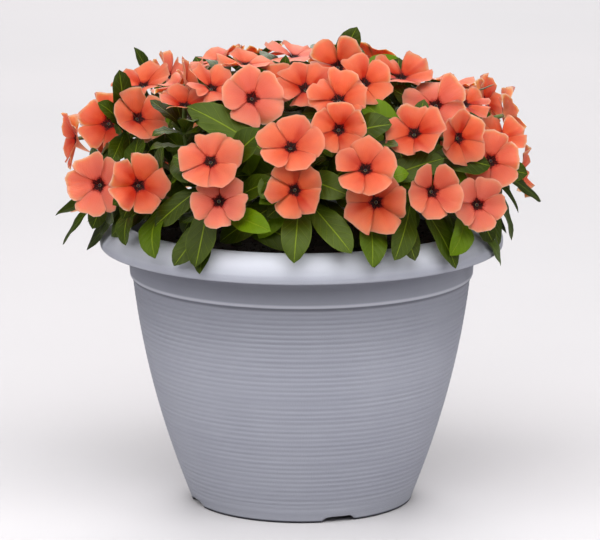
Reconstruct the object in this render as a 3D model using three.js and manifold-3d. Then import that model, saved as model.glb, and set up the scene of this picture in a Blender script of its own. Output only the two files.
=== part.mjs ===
// A Madagascar periwinkle in a round nursery planter, in millimetres, with +Z up.
// The origin is on the pot's axis, on the surface that the pot stands on. The front faces -Y.
import * as THREE from "three";
import { mergeVertices } from "three/addons/utils/BufferGeometryUtils.js";
import Module from "manifold-3d";

const wasm = await Module();
wasm.setup();

const degrees = Math.PI / 180;
const clearance = 0.3; // left between pieces that touch
const colours = { pot: 0x9b9ba8, soil: 0x2b211b, leaf: 0x4f7a2a, petal: 0xf4714f };

// The planter: a convex body, a smooth neck, and a broad lip rolled out and down
const pot = {
  sides: 32,
  wall: 3,
  footRadius: 84,
  footInner: 77,
  recess: 5, // height of the floor's underside over the ground
  floorTop: 9,
  bodyFoot: { radius: 85.2, height: 4 },
  bodyTop: { radius: 128, height: 173 },
  bulge: 6, // how far the body's arc stands out from its chord
  neck: { radius: 130, height: 176 },
  lip: { radius: 152.7, height: 197 }, // the lip's lower outer edge
  crest: { radius: 138, height: 218 }, // the lip's highest circle
};
const notch = { first: 19.5, count: 4, footWidth: 27, topWidth: 19, height: 4.6 };
const drain = { radius: 5.5, reach: 62, sides: 8 };

// The potting mix, with a low crown in the middle
const soil = { sides: 16, edgeHeight: 199, middleHeight: 206 };

// The dome of blooms, and the slope of the front view that the blooms are set out in
const dome = { radius: 168, backRadius: 161, height: 110, middle: 234 };
const viewSlope = 12 * degrees;

const petal = { count: 5, thickness: 0.8, throat: 5.2, throatDepth: 2, step: 1.3 };
const tube = { length: 23, mouth: 1.9, base: 1.2, stub: 11, stubRadius: 2.6 };

// Five plants, one in the middle and four round it. A plant's blooms are shared out between
// branches, and each bloom ends a shoot.
const plants = { ringCount: 4, ringRadius: 62, ringStart: 40, middleRise: 48 };
const crown = { radius: 4.4, sides: 5, rise: 24, depth: 9 };
const branch = { radius: 3, reach: 0.55, blooms: 3, sides: 4, joint: 4 };
const shoot = {
  root: 2.4,
  tip: 1.7,
  sides: 4,
  joint: 2.6, // length of a segment that bears leaves
  belowBloom: 9,
  lowerJoint: 0.5,
  attempts: 40,
};
const leaf = { thickness: 0.8, fold: 0.2, bow: 4, waist: 0.46, widest: 0.76, splay: 0.45 };
const fill = { lengths: [58, 50, 42], halfWidth: 10.5, turns: 6, reach: 1.04, lowest: 222, most: 180 };

// Blooms seen from the front: across and up from the pot's foot in the view's plane,
// then how far each faces right and up from the viewer, its radius, and its turn about its axis
const frontBlooms = [
  [-146, 283, -12, 12, 23.5, 10],
  [-150, 235, -18, 2, 23, 40],
  [-119, 234, 8, 8, 22.5, 0],
  [-66, 251, -3, 28, 24, 20],
  [-60, 222, -3, 4, 20.5, 50],
  [-36, 298, 12, 15, 23.5, 30],
  [-8, 261, 2, 34, 24.5, 5],
  [-5, 230, -3, 4, 21, 35],
  [46, 245, -4, 25, 22.5, 15],
  [54, 221, 2, -4, 23, 0],
  [82, 272, -6, 35, 22.5, 25],
  [95, 229, 22, 0, 21, 45],
  [129, 220, 15, 4, 20.5, 60],
  [140, 253, 8, 8, 23, 12],
  [27, 323, 3, 18, 22.5, 55],
  [99, 294, -8, 15, 23.5, 40],
  [27, 297, -5, 38, 22.5, 8],
  [46, 310, 12, 30, 22, 33],
  [3, 306, 5, 40, 22, 50],
  [-121, 285, 30, 25, 22, 15],
  [-19, 307, -35, 20, 20, 25],
  [-172, 272, -75, -8, 21, 5],
  [167, 247, 75, 0, 20, 30],
  [155, 290, 105, 15, 20, 0],
  [116, 269, 35, 0, 20, 20],
  [-121, 313, -35, 55, 23, 45],
  [-101, 321, 50, 40, 19, 0],
  [-84, 309, 75, 30, 20, 10],
  [-66, 307, 25, 45, 20, 38],
  [-42, 326, 0, 68, 22, 22],
  [-6, 333, 10, 72, 21, 52],
  [74, 316, 15, 60, 23, 28],
  [113, 312, 30, 75, 20, 14],
  [122, 297, 35, 45, 20, 3],
  [141, 301, 70, 20, 19, 44],
  [149, 272, 25, 40, 19, 18],
  [-86, 294, 5, 60, 19, 30],
  [27, 274, 5, 10, 20, 12],
  [113, 256, -10, 5, 19, 48],
];

// Leaves seen from the front: where the blade starts and where it ends, across and up in
// the view's plane, and half its width
const frontLeaves = [
  [-124, 222, -162, 187, 11],
  [-107, 225, -129, 190, 10],
  [-88, 206, -93, 175, 9],
  [-67, 208, -77, 174, 12],
  [-60, 200, -74, 169, 8],
  [-166, 229, -180, 191, 6],
  [-168, 238, -185, 213, 7],
  [-101, 226, -101, 262, 9],
  [-52, 284, -84, 292, 12],
  [-57, 280, -28, 273, 12],
  [-48, 240, -20, 237, 10],
  [-40, 224, -22, 200, 9],
  [36, 268, 66, 278, 12],
  [60, 288, 70, 262, 9],
  [30, 206, 36, 184, 10],
  [54, 199, 51, 174, 10],
  [70, 204, 67, 179, 10],
  [104, 201, 113, 173, 10],
  [153, 224, 157, 194, 9],
  [144, 202, 149, 175, 5],
  [158, 238, 181, 224, 7],
  [-66, 322, -81, 335, 9],
  [13, 322, 13, 345, 10],
  [121, 302, 127, 318, 5],
];

// Rings of leaves all round: those over the rim, and those between the rim and the blooms
const leafRings = [
  {
    count: 24,
    shift: 0,
    seed: 0,
    start: { radius: 118, height: 236 },
    tip: { radius: 161, height: 213 },
    halfWidth: 11,
    bow: 8,
  },
  {
    count: 22,
    shift: 0.5,
    seed: 100,
    start: { radius: 108, height: 244 },
    tip: { radius: 152, height: 228 },
    halfWidth: 11,
    bow: 6,
  },
  {
    count: 20,
    shift: 0.3,
    seed: 200,
    start: { radius: 90, height: 232 },
    tip: { radius: 126, height: 222 },
    halfWidth: 11,
    bow: 6,
  },
];
const longest = { front: 92, ring: 80 }; // from a leaf's root to its tip

// Blooms round the back, in rows on the dome: how high, how many, and between which bearings
const backRows = [
  { rise: 4, count: 6, from: 112, to: 250, radius: 23 },
  { rise: 31, count: 5, from: 126, to: 250, radius: 23 },
  { rise: 58, count: 3, from: 120, to: 250, radius: 23 },
];

const right = new THREE.Vector3(1, 0, 0);
const viewUp = new THREE.Vector3(0, Math.sin(viewSlope), Math.cos(viewSlope));
const towardsViewer = new THREE.Vector3(0, -Math.cos(viewSlope), Math.sin(viewSlope));
const skyward = new THREE.Vector3(0, 0, 1);

// Repeatable random numbers from 0 to 1
function seeded(seed) {
  const modulus = 4294967296;
  let state = (seed * 2654435 + 1013904223) % modulus;
  const draw = () => {
    state = (state * 1664525 + 1013904223) % modulus;
    return state / modulus;
  };
  draw();
  draw();
  return draw;
}

// A closed mesh as a solid, and back
function solidFrom(geometry) {
  const bare = new THREE.BufferGeometry().setAttribute("position", geometry.getAttribute("position"));
  if (geometry.index) bare.setIndex(geometry.index);
  const merged = mergeVertices(bare, 1e-4);
  return new wasm.Manifold(
    new wasm.Mesh({
      numProp: 3,
      vertProperties: merged.attributes.position.array,
      triVerts: new Uint32Array(merged.index.array),
    }),
  );
}

function geometryFrom(solid) {
  const mesh = solid.getMesh();
  return new THREE.BufferGeometry()
    .setAttribute("position", new THREE.BufferAttribute(mesh.vertProperties, 3))
    .setIndex(new THREE.BufferAttribute(mesh.triVerts, 1));
}

function solidFromFaces(points, faces) {
  const geometry = new THREE.BufferGeometry().setFromPoints(points);
  geometry.setIndex(faces.flat());
  return solidFrom(geometry);
}

// Turned parts

function turned(profile, sides) {
  const points = profile.map(([radius, height]) => new THREE.Vector2(radius, height));
  return solidFrom(new THREE.LatheGeometry(points, sides).rotateX(Math.PI / 2));
}

// Radius of the body's outside, an arc drawn as a parabola over its chord
function bodyRadius(height) {
  const { bodyFoot, bodyTop, bulge } = pot;
  const share = (height - bodyFoot.height) / (bodyTop.height - bodyFoot.height);
  return bodyFoot.radius + (bodyTop.radius - bodyFoot.radius) * share + 4 * bulge * share * (1 - share);
}

const bodyHeights = [42, 86, 130];
const innerHeights = [12, 92, 173];

function potSolid() {
  const { neck, lip, crest, wall, bodyTop, bodyFoot } = pot;
  const profile = [
    [0, pot.recess],
    [pot.footInner - 1, pot.recess],
    [pot.footInner, 0],
    [pot.footRadius, 0],
    [bodyFoot.radius, bodyFoot.height],
    ...bodyHeights.map((height) => [bodyRadius(height), height]),
    [bodyTop.radius, bodyTop.height],
    [neck.radius, neck.height],
    [neck.radius + 2, neck.height + 20],
    [crest.radius, crest.height - wall],
    [lip.radius - 7, lip.height + 11],
    [lip.radius - wall, lip.height],
    [lip.radius - 0.6, lip.height],
    [lip.radius, lip.height + 4],
    [lip.radius - 5, lip.height + 13],
    [crest.radius + 3, crest.height - 1],
    [crest.radius - 2, crest.height],
    [neck.radius, crest.height - 6],
    ...[...innerHeights].reverse().map((height) => [innerRadius(height), height]),
    [innerRadius(12) - 3, pot.floorTop],
    [0, pot.floorTop],
  ];
  const cutters = [];
  for (let k = 0; k < notch.count; k++) {
    const bearing = (notch.first + (k * 360) / notch.count) * degrees;
    cutters.push(notchCutter(bearing), drainCutter(bearing));
  }
  return turned(profile, pot.sides).subtract(wasm.Manifold.union(cutters));
}

function innerRadius(height) {
  return bodyRadius(height) - pot.wall;
}

// A wedge that opens the foot ring, narrower at its top
function notchCutter(bearing) {
  const below = 2;
  const shape = new THREE.Shape([
    new THREE.Vector2(-notch.footWidth / 2 - 1, -below),
    new THREE.Vector2(notch.footWidth / 2 + 1, -below),
    new THREE.Vector2(notch.topWidth / 2, notch.height),
    new THREE.Vector2(-notch.topWidth / 2, notch.height),
  ]);
  const depth = 24;
  const wedge = new THREE.ExtrudeGeometry(shape, { depth, bevelEnabled: false });
  wedge.rotateX(Math.PI / 2).translate(0, -pot.footInner + 8, 0).rotateZ(bearing);
  return solidFrom(wedge);
}

function drainCutter(bearing) {
  const bore = new THREE.CylinderGeometry(drain.radius, drain.radius, 20, drain.sides);
  bore.rotateX(Math.PI / 2).translate(0, -drain.reach, 7).rotateZ(bearing);
  return solidFrom(bore);
}

function soilSolid(crowns) {
  const fit = (height) => innerRadius(height) - clearance;
  const top = soil.edgeHeight;
  const profile = [
    [0, pot.floorTop + clearance],
    [fit(12) - 3.5, pot.floorTop + clearance],
    [fit(12) - 0.2, 12 + clearance],
    [fit(92) - 0.2, 92],
    [fit(173) - 0.5, 173],
    [fit(173) - 0.5, top],
    [88, top + 4],
    [0, soil.middleHeight],
  ];
  const holes = crowns.map(({ x, y }) => {
    const width = (crown.radius + clearance) / Math.cos(Math.PI / crown.sides);
    const hole = new THREE.CylinderGeometry(width, width, 40, crown.sides);
    hole.rotateX(Math.PI / 2).translate(x, y, soilHeight(x, y) - crown.depth - clearance + 20);
    return solidFrom(hole);
  });
  return turned(profile, soil.sides).subtract(wasm.Manifold.union(holes));
}

function soilHeight(x, y) {
  const share = Math.hypot(x, y) / 88;
  return soil.middleHeight - (soil.middleHeight - soil.edgeHeight - 4) * share;
}

// Places on the dome

// The point of the dome that the viewer sees at a place in the view's plane
function onDome(across, up) {
  const start = right.clone().multiplyScalar(across).addScaledVector(viewUp, up);
  const flat = (v) => new THREE.Vector3(v.x / dome.radius, v.y / dome.radius, v.z / dome.height);
  const from = flat(start.clone().sub(new THREE.Vector3(0, 0, dome.middle)));
  const along = flat(towardsViewer);
  const a = along.dot(along);
  const b = from.dot(along);
  const c = from.dot(from) - 1;
  const root = Math.sqrt(Math.max(b * b - a * c, 0));
  return start.addScaledVector(towardsViewer, (root - b) / a);
}

function facing(turn, lift) {
  const level = towardsViewer.clone().multiplyScalar(Math.cos(turn * degrees));
  level.addScaledVector(right, Math.sin(turn * degrees));
  level.multiplyScalar(Math.cos(lift * degrees));
  return level.addScaledVector(viewUp, Math.sin(lift * degrees));
}

// Every bloom's first place: where its throat is, which way it faces, and where it may be moved
function bloomPlaces() {
  const places = frontBlooms.map(([across, up, turn, lift, radius, spin]) => ({
    throat: onDome(across, up),
    axis: facing(turn, lift),
    slide: towardsViewer,
    radius,
    spin: spin * degrees,
  }));
  for (const row of backRows) {
    for (let k = 0; k < row.count; k++) {
      const draw = seeded(500 + places.length);
      const share = (k + draw() * 0.5) / (row.count - 0.75);
      const bearing = (row.from + (row.to - row.from) * share) * degrees;
      const rise = (row.rise + (draw() - 0.5) * 16) * degrees;
      const outward = new THREE.Vector3(Math.sin(bearing), -Math.cos(bearing), 0);
      const throat = outward.clone().multiplyScalar(dome.backRadius * Math.cos(rise));
      throat.z = dome.middle + dome.height * Math.sin(rise);
      const axis = outward.clone().multiplyScalar(Math.cos(rise));
      axis.addScaledVector(skyward, Math.sin(rise) + 0.3).normalize();
      places.push({ throat, axis, slide: outward, radius: row.radius, spin: draw() * 72 * degrees });
    }
  }
  return places;
}

// Two directions square to an axis, the first one level
function squareTo(axis) {
  const level = new THREE.Vector3().crossVectors(skyward, axis);
  if (level.lengthSq() < 1e-6) level.set(1, 0, 0);
  level.normalize();
  return [level, new THREE.Vector3().crossVectors(axis, level)];
}

// A bloom: five petals from one throat, each with one edge raised over its neighbour, on a slim tube.
// For testing what it would touch, grow thickens it and stub lengthens its tube.
function bloomSolid(place, index, grow = 0, stub = 0) {
  const [side, top] = squareTo(place.axis);
  const draw = seeded(index + 1);
  const cup = 2.5 + 3.5 * draw();
  const radius = place.radius + grow;
  const points = [];
  const faces = [];
  const put = (reach, angle, height) => {
    const a = angle + place.spin;
    const point = place.throat.clone().addScaledVector(side, reach * Math.cos(a));
    point.addScaledVector(top, reach * Math.sin(a)).addScaledVector(place.axis, height);
    return points.push(point) - 1;
  };
  const pitch = (2 * Math.PI) / petal.count;
  const rise = (share) => cup * share * share;
  const sheets = [grow, -petal.thickness - grow].map((shift) => {
    const joints = [];
    const blades = [];
    for (let k = 0; k < petal.count; k++) {
      const sway = seeded(index * 16 + k + 7)() * 3 - 1.5;
      const middle = k * pitch;
      joints.push(put(petal.throat, middle - pitch / 2, shift));
      blades.push([
        put(radius * 0.8, middle - 0.47 * pitch, rise(0.8) - petal.step + sway * 0.6 + shift),
        put(radius * 0.97, middle - 0.25 * pitch, rise(1) - petal.step * 0.4 + sway + shift),
        put(radius * 1.02, middle + 0.2 * pitch, rise(1) + petal.step * 0.4 + sway + shift),
        put(radius * 0.86, middle + 0.46 * pitch, rise(0.8) + petal.step + sway * 0.6 + shift),
      ]);
    }
    return { joints, blades };
  });
  const [upper, lower] = sheets;
  const throat = put(0, 0, -petal.throatDepth + grow);
  const mouth = [];
  const base = [];
  const baseRadius = (stub ? tube.stubRadius : tube.base) + grow;
  for (let k = 0; k < petal.count; k++) {
    const angle = (k - 0.5) * pitch;
    mouth.push(put(tube.mouth + grow, angle, -petal.thickness - grow - 3.5));
    base.push(put(baseRadius, angle, -tube.length - grow - stub));
  }
  for (let k = 0; k < petal.count; k++) {
    const next = (k + 1) % petal.count;
    faces.push([throat, upper.joints[k], upper.joints[next]]);
    faces.push([lower.joints[next], lower.joints[k], mouth[k]]);
    faces.push([lower.joints[next], mouth[k], mouth[next]]);
    faces.push([mouth[next], mouth[k], base[k]], [mouth[next], base[k], base[next]]);
    const [u0, u1, u2, u3] = upper.blades[k];
    const [v0, v1, v2, v3] = lower.blades[k];
    const above = [upper.joints[k], u0, u1, u2, u3, upper.joints[next]];
    const below = [lower.joints[k], v0, v1, v2, v3, lower.joints[next]];
    for (const [i, j, l] of [[0, 1, 2], [0, 2, 3], [0, 3, 5], [3, 4, 5]]) {
      faces.push([above[i], above[j], above[l]], [below[i], below[l], below[j]]);
    }
    for (let i = 0; i < 5; i++) {
      faces.push([above[i], below[i], below[i + 1]], [above[i], below[i + 1], above[i + 1]]);
    }
  }
  for (let k = 1; k < petal.count - 1; k++) faces.push([base[0], base[k + 1], base[k]]);
  return solidFromFaces(points, faces);
}

// A stem round a line of points, thinning from one radius to another. Whatever grows out of it
// takes the place of one of its sides, and a stem that grows so starts with that side's corners.
function limb(line, radiusStart, radiusEnd, sides, base) {
  const points = [];
  const sideWays = [];
  let side = base ? base[0].clone().sub(line[0]) : null;
  line.forEach((place, i) => {
    const ahead = line[Math.min(i + 1, line.length - 1)];
    const behind = line[Math.max(i - 1, 0)];
    const along = ahead.clone().sub(behind).normalize();
    side = side ?? squareTo(along)[0];
    side = side.clone().addScaledVector(along, -side.dot(along)).normalize();
    const top = new THREE.Vector3().crossVectors(along, side);
    const radius = radiusStart + ((radiusEnd - radiusStart) * i) / (line.length - 1);
    const around = (angle) =>
      side.clone().multiplyScalar(Math.cos(angle)).addScaledVector(top, Math.sin(angle));
    for (let k = 0; k < sides; k++) {
      const round = place.clone().addScaledVector(around((k * 2 * Math.PI) / sides), radius);
      points.push(base && i === 0 ? base[k].clone() : round);
    }
    sideWays.push(Array.from({ length: sides }, (_, k) => around(((k + 0.5) * 2 * Math.PI) / sides)));
  });
  return { line, points, sides, sideWays, grown: [] };
}

// The corners of one side of one segment, or of the end
function cornersOf({ line, sides }, segment, k) {
  const start = segment * sides;
  if (segment === line.length - 1) return [0, 1, 2, 3].map((i) => start + i);
  const a = start + k;
  const b = start + ((k + 1) % sides);
  return [a, b, b + sides, a + sides];
}

function siteOf(stem, segment, side) {
  const corners = cornersOf(stem, segment, side).map((i) => stem.points[i]);
  const middle = new THREE.Vector3();
  corners.forEach((corner) => middle.addScaledVector(corner, 0.25));
  const last = stem.line.length - 1;
  const along = stem.line[last].clone().sub(stem.line[last - 1]).normalize();
  const way = segment === last ? along : stem.sideWays[segment][side];
  return { stem, segment, side, corners, middle, way, taken: false };
}

// Adds a stem, with what grows out of it, to a surface. Its first corners may be there already.
function addLimb(points, faces, stem, base) {
  const { line, sides, grown } = stem;
  const add = (point) => points.push(point.clone()) - 1;
  const numbers = stem.points.map((point, i) => (base && i < sides ? base[i] : add(point)));
  const growth = (segment, k) => grown.find((child) => child.segment === segment && child.side === k);
  const addQuad = (segment, k) => {
    const corners = cornersOf(stem, segment, k).map((i) => numbers[i]);
    const child = growth(segment, k);
    if (child?.tip) addLeaf(points, faces, corners, child);
    else if (child) addLimb(points, faces, child.stem, corners);
    else faces.push([corners[0], corners[1], corners[2]], [corners[0], corners[2], corners[3]]);
  };
  for (let i = 0; i < line.length - 1; i++) {
    for (let k = 0; k < sides; k++) addQuad(i, k);
  }
  if (sides === 4) addQuad(line.length - 1, 0);
  else addCap(faces, numbers.slice(-sides));
  if (!base) addCap(faces, numbers.slice(0, sides).reverse());
}

function addCap(faces, ring) {
  for (let k = 1; k < ring.length - 1; k++) faces.push([ring[0], ring[k], ring[k + 1]]);
}

function limbSolid(stem) {
  const points = [];
  const faces = [];
  addLimb(points, faces, stem);
  return solidFromFaces(points, faces);
}

// A leaf on four base corners, numbered anticlockwise as seen from its tip: it tapers into two
// cross sections, folded up along the midrib, and a point. The blade bows towards the outward side.
function addLeaf(points, faces, base, { root, tip, outward, halfWidth, bow }, grow = 0) {
  const along = tip.clone().sub(root);
  const length = along.length();
  along.normalize();
  const side = new THREE.Vector3().crossVectors(along, outward).normalize();
  const top = new THREE.Vector3().crossVectors(side, along);
  const put = (share, across, height) => {
    const arch = 4 * bow * share * (1 - share);
    const point = root.clone().addScaledVector(along, share * length).addScaledVector(side, across);
    return points.push(point.addScaledVector(top, height + arch)) - 1;
  };
  const middle = new THREE.Vector3();
  base.forEach((i) => middle.addScaledVector(points[i], 0.25));
  const fit = (turn) => {
    const score = (i, across, up) => {
      const reach = points[base[(i + turn) % 4]].clone().sub(middle);
      return reach.dot(side) * across + reach.dot(top) * up;
    };
    return score(0, 1, -1) + score(1, -1, -1) + score(2, -1, 1) + score(3, 1, 1);
  };
  const turn = [0, 1, 2, 3].reduce((best, other) => (fit(other) > fit(best) ? other : best), 0);
  const [c, d, b, a] = [0, 1, 2, 3].map((i) => base[(i + turn) % 4]);
  const half = leaf.thickness / 2 + grow;
  const section = (share, across, height) => [
    put(share, across, height + leaf.fold * across),
    put(share, 0, height),
    put(share, -across, height + leaf.fold * across),
  ];
  const first = halfWidth * 0.86 + grow;
  const second = halfWidth + grow;
  const [l1, m1, r1] = section(leaf.waist, first, half);
  const [l2, m2, r2] = section(leaf.widest, second, half);
  const [k1, n1, s1] = section(leaf.waist, first, -half);
  const [k2, n2, s2] = section(leaf.widest, second, -half);
  const point = put(1 + grow / length, 0, 0);
  faces.push(
    [a, l1, m1], [a, m1, b], [b, m1, r1], [c, n1, k1], [c, d, n1], [d, s1, n1],
    [a, c, k1], [a, k1, l1], [b, r1, s1], [b, s1, d],
    [l1, l2, m2], [l1, m2, m1], [m1, m2, r2], [m1, r2, r1],
    [k1, n2, k2], [k1, n1, n2], [n1, s2, n2], [n1, s1, s2],
    [l1, k1, k2], [l1, k2, l2], [r1, r2, s2], [r1, s2, s1],
    [l2, point, m2], [m2, point, r2], [k2, n2, point], [n2, s2, point],
    [l2, k2, point], [r2, point, s2],
  );
}

// The same leaf alone, closed at its base
function leafSolid(stem, shape, grow) {
  const points = cornersOf(stem, shape.segment, shape.side).map((i) => stem.points[i].clone());
  const faces = [[0, 2, 1], [0, 3, 2]];
  addLeaf(points, faces, [0, 1, 2, 3], shape, grow);
  return solidFromFaces(points, faces);
}

// What is already in place, and what a new solid would cross
const inPlace = [];

function keep(solid, facts) {
  const item = { solid, box: solid.boundingBox(), ...facts };
  inPlace.push(item);
  return item;
}

function crossed(solid, counts = () => true) {
  const box = solid.boundingBox();
  const near = ({ min, max }) => [0, 1, 2].every((i) => box.min[i] <= max[i] && min[i] <= box.max[i]);
  const cuts = (item) => solid.intersect(item.solid).volume() > 1e-3;
  return inPlace.some((item) => near(item.box) && counts(item) && cuts(item));
}

// The pot, the soil and where the plants stand in it
const potBody = potSolid();
const stands = [new THREE.Vector3(0, 0, soil.middleHeight)];
for (let k = 0; k < plants.ringCount; k++) {
  const bearing = (plants.ringStart + (k * 360) / plants.ringCount) * degrees;
  const x = plants.ringRadius * Math.sin(bearing);
  const y = -plants.ringRadius * Math.cos(bearing);
  stands.push(new THREE.Vector3(x, y, soilHeight(x, y)));
}
const soilBody = soilSolid(stands);
keep(potBody);
keep(soilBody);

// Each bloom moves along its slide until it is clear of those before it, inwards first,
// with room behind it for the shoot that bears it
const slides = [];
for (let step = 0; step <= 22; step++) slides.push(-2 * step);
for (let step = 1; step <= 10; step++) slides.push(2 * step);

const blooms = [];

function placeBloom(place, index) {
  for (const slide of slides) {
    const moved = { ...place, throat: place.throat.clone().addScaledVector(place.slide, slide) };
    if (crossed(bloomSolid(moved, index, clearance, tube.stub))) continue;
    const bloom = { ...moved, index, solid: bloomSolid(moved, index) };
    bloom.item = keep(bloomSolid(moved, index, 0, tube.stub), { bloom });
    blooms.push(bloom);
    return;
  }
}

// A second bloom beside the first, with petals that cross so that the two hold together
function placePartner(bloom, index) {
  const [level, over] = squareTo(bloom.axis);
  for (let attempt = 0; attempt < 160; attempt++) {
    const draw = seeded(7000 + index * 200 + attempt);
    const bearing = draw() * 2 * Math.PI;
    const apart = bloom.radius * (1.7 + 0.2 * draw());
    const beside = level.clone().multiplyScalar(Math.cos(bearing));
    beside.addScaledVector(over, Math.sin(bearing));
    const throat = bloom.throat.clone().addScaledVector(beside, apart);
    throat.addScaledVector(bloom.axis, -apart * 0.16 + (draw() - 0.5) * 6);
    const axis = bloom.axis.clone().addScaledVector(beside, 0.36).normalize();
    const place = { throat, axis, radius: bloom.radius, spin: draw() * 72 * degrees };
    const notFirst = (item) => item !== bloom.item;
    if (crossed(bloomSolid(place, index, clearance, tube.stub), notFirst)) continue;
    const solid = bloomSolid(place, index);
    if (solid.boundingBox().max[1] > dome.radius + 3) continue;
    const overlap = solid.intersect(bloom.solid).volume();
    if (overlap < 0.4 || overlap > 40 || solid.add(bloom.solid).decompose().length > 1) continue;
    const partner = { ...place, index, solid };
    partner.item = keep(bloomSolid(place, index, 0, tube.stub), { bloom: partner });
    blooms.push(partner);
    bloom.partner = partner;
    partner.second = true;
    return;
  }
}

const places = bloomPlaces();
places.forEach(placeBloom);
blooms.filter(({ index }) => index >= frontBlooms.length && index % 2 === 0).forEach((bloom, k) => {
  placePartner(bloom, places.length + k);
});

// Shoots: which plant bears each bloom, and which of the plant's branches
const calyxOf = (bloom) => bloom.throat.clone().addScaledVector(bloom.axis, -tube.length - clearance);

function plantFor(bloom) {
  const calyx = calyxOf(bloom);
  const rise = Math.atan2(calyx.z - dome.middle + 20, Math.hypot(calyx.x, calyx.y)) / degrees;
  if (rise > plants.middleRise) return 0;
  const bearing = Math.atan2(calyx.x, -calyx.y) / degrees;
  const turn = ((bearing - plants.ringStart) / 360) * plants.ringCount + 2 * plants.ringCount + 0.5;
  return 1 + (Math.floor(turn) % plants.ringCount);
}

function curve(from, to, startDirection, endDirection) {
  const reach = from.distanceTo(to) * 0.38;
  return new THREE.CubicBezierCurve3(
    from,
    from.clone().addScaledVector(startDirection, reach),
    to.clone().addScaledVector(endDirection, -reach),
    to,
  );
}

// A shoot's line, with two short segments that bear leaves
function shootLine(from, to, startDirection, endDirection) {
  const path = curve(from, to, startDirection, endDirection);
  const length = path.getLength();
  const share = shoot.joint / length;
  const upper = 1 - shoot.belowBloom / length;
  const lower = upper * shoot.lowerJoint;
  return [0, lower - share, lower, upper - share, upper, 1].map((t) => path.getPoint(Math.max(t, 0)));
}

const greens = stands.map(() => []);
const shoots = [];
const forks = [];

stands.forEach((stand, plant) => {
  const foot = stand.clone();
  foot.z -= crown.depth;
  const top = new THREE.Vector3(stand.x * 1.08, stand.y * 1.08, stand.z + crown.rise);
  const trunk = limb([foot, stand, top], crown.radius, crown.radius * 0.75, crown.sides);
  greens[plant].push(trunk);
  keep(limbSolid(trunk), { plant });
  const own = blooms.filter((bloom) => plantFor(bloom) === plant);
  const bearingOf = (bloom) => {
    const away = calyxOf(bloom).sub(top);
    return Math.atan2(away.x, -away.y);
  };
  own.sort((a, b) => bearingOf(a) - bearingOf(b));
  const groups = Math.ceil(own.length / branch.blooms);
  for (let g = 0; g < groups; g++) {
    const from = Math.round((g * own.length) / groups);
    const members = own.slice(from, Math.round(((g + 1) * own.length) / groups));
    const middle = new THREE.Vector3();
    members.forEach((bloom) => middle.addScaledVector(calyxOf(bloom), 1 / members.length));
    const start = top.clone();
    start.z -= 3 + (g % 3) * 3;
    const end = start.clone().lerp(middle, branch.reach);
    const path = curve(start, end, skyward, end.clone().sub(start).normalize());
    const joint = branch.joint / path.getLength();
    const line = [0, 0.5, 1 - 3 * joint, 1 - 2 * joint, 1 - joint, 1].map((t) => path.getPoint(t));
    const stem = limb(line, branch.radius, branch.radius * 0.8, branch.sides);
    stem.plant = plant;
    const bough = limbSolid(stem);
    keep(bough, { plant });
    const sites = [siteOf(stem, 5, 0)];
    for (let side = 0; side < 4; side++) sites.push(siteOf(stem, 4, side), siteOf(stem, 2, side));
    forks.push({ stem, members, sites });
    greens[plant].push(stem);
  }
});

// Whether a bloom's shoot can grow from a fork
function growShoot(bloom, { stem: parent, sites }) {
  const calyx = calyxOf(bloom);
  const plant = parent.plant;
  const fits = (site) => calyx.clone().sub(site.middle).normalize().dot(site.way);
  const free = sites
    .filter((site) => !site.taken && fits(site) > 0.1)
    .sort((a, b) => fits(b) - fits(a));
  for (let attempt = 0; attempt < shoot.attempts; attempt++) {
    for (const site of free) {
      const draw = seeded(9000 + bloom.index * 64 + attempt);
      const from = site.middle;
      const lean = new THREE.Vector3(draw() - 0.5, draw() - 0.5, draw() - 0.5);
      const leave = calyx.clone().sub(from).normalize().add(site.way).normalize();
      leave.addScaledVector(lean, attempt * 0.1).normalize();
      if (leave.dot(site.way) < 0.4) continue;
      const path = shootLine(from, calyx, leave, bloom.axis);
      const wide = shoot.root + clearance;
      const thick = limb(path, wide, shoot.tip + clearance / 2, shoot.sides, site.corners);
      const apart = (item) => item.plant !== plant && item.bloom !== bloom;
      if (crossed(limbSolid(thick), apart)) continue;
      const stem = limb(path, shoot.root, shoot.tip, shoot.sides, site.corners);
      if (crossed(limbSolid(stem), (item) => item.plant === plant)) continue;
      Object.assign(stem, { plant, bloom, item: keep(limbSolid(stem), { plant }) });
      parent.grown.push({ segment: site.segment, side: site.side, stem });
      site.taken = true;
      shoots.push(stem);
      return true;
    }
  }
  return false;
}

const outermostFirst = [...blooms].sort((a, b) => Math.abs(b.throat.x) - Math.abs(a.throat.x));
for (const bloom of outermostFirst) {
  const nearness = ({ members, sites }) =>
    members.includes(bloom) ? 0 : sites[0].middle.distanceTo(bloom.throat);
  const order = [...forks].sort((a, b) => nearness(a) - nearness(b));
  order.some((fork) => growShoot(bloom, fork));
}
for (const { item, solid } of blooms) Object.assign(item, { solid, box: solid.boundingBox() });

// Leaves grow from the two leafy segments of the shoots, and cross nothing else
let leafCount = 0;
const leafSites = shoots.flatMap((stem) =>
  [1, 3].flatMap((segment) => [0, 1, 2, 3].map((side) => siteOf(stem, segment, side))),
);

function tryLeaf(site, tip, outward, halfWidth, bow) {
  const { stem, segment, side, middle, way } = site;
  if (site.taken || tip.clone().sub(middle).normalize().dot(way) < leaf.splay) return false;
  const shape = { segment, side, root: middle, tip, outward, halfWidth, bow };
  if (crossed(leafSolid(stem, shape, clearance), (item) => item !== stem.item)) return false;
  const solid = leafSolid(stem, shape, 0);
  if (solid.intersect(stem.item.solid).volume() > 1e-3) return false;
  stem.grown.push(shape);
  site.taken = true;
  keep(solid, { plant: stem.plant });
  leafCount++;
  return true;
}

const domeFoot = new THREE.Vector3(0, 0, dome.middle - 60);
const outwardAt = (point) => point.clone().sub(domeFoot).normalize();

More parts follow.
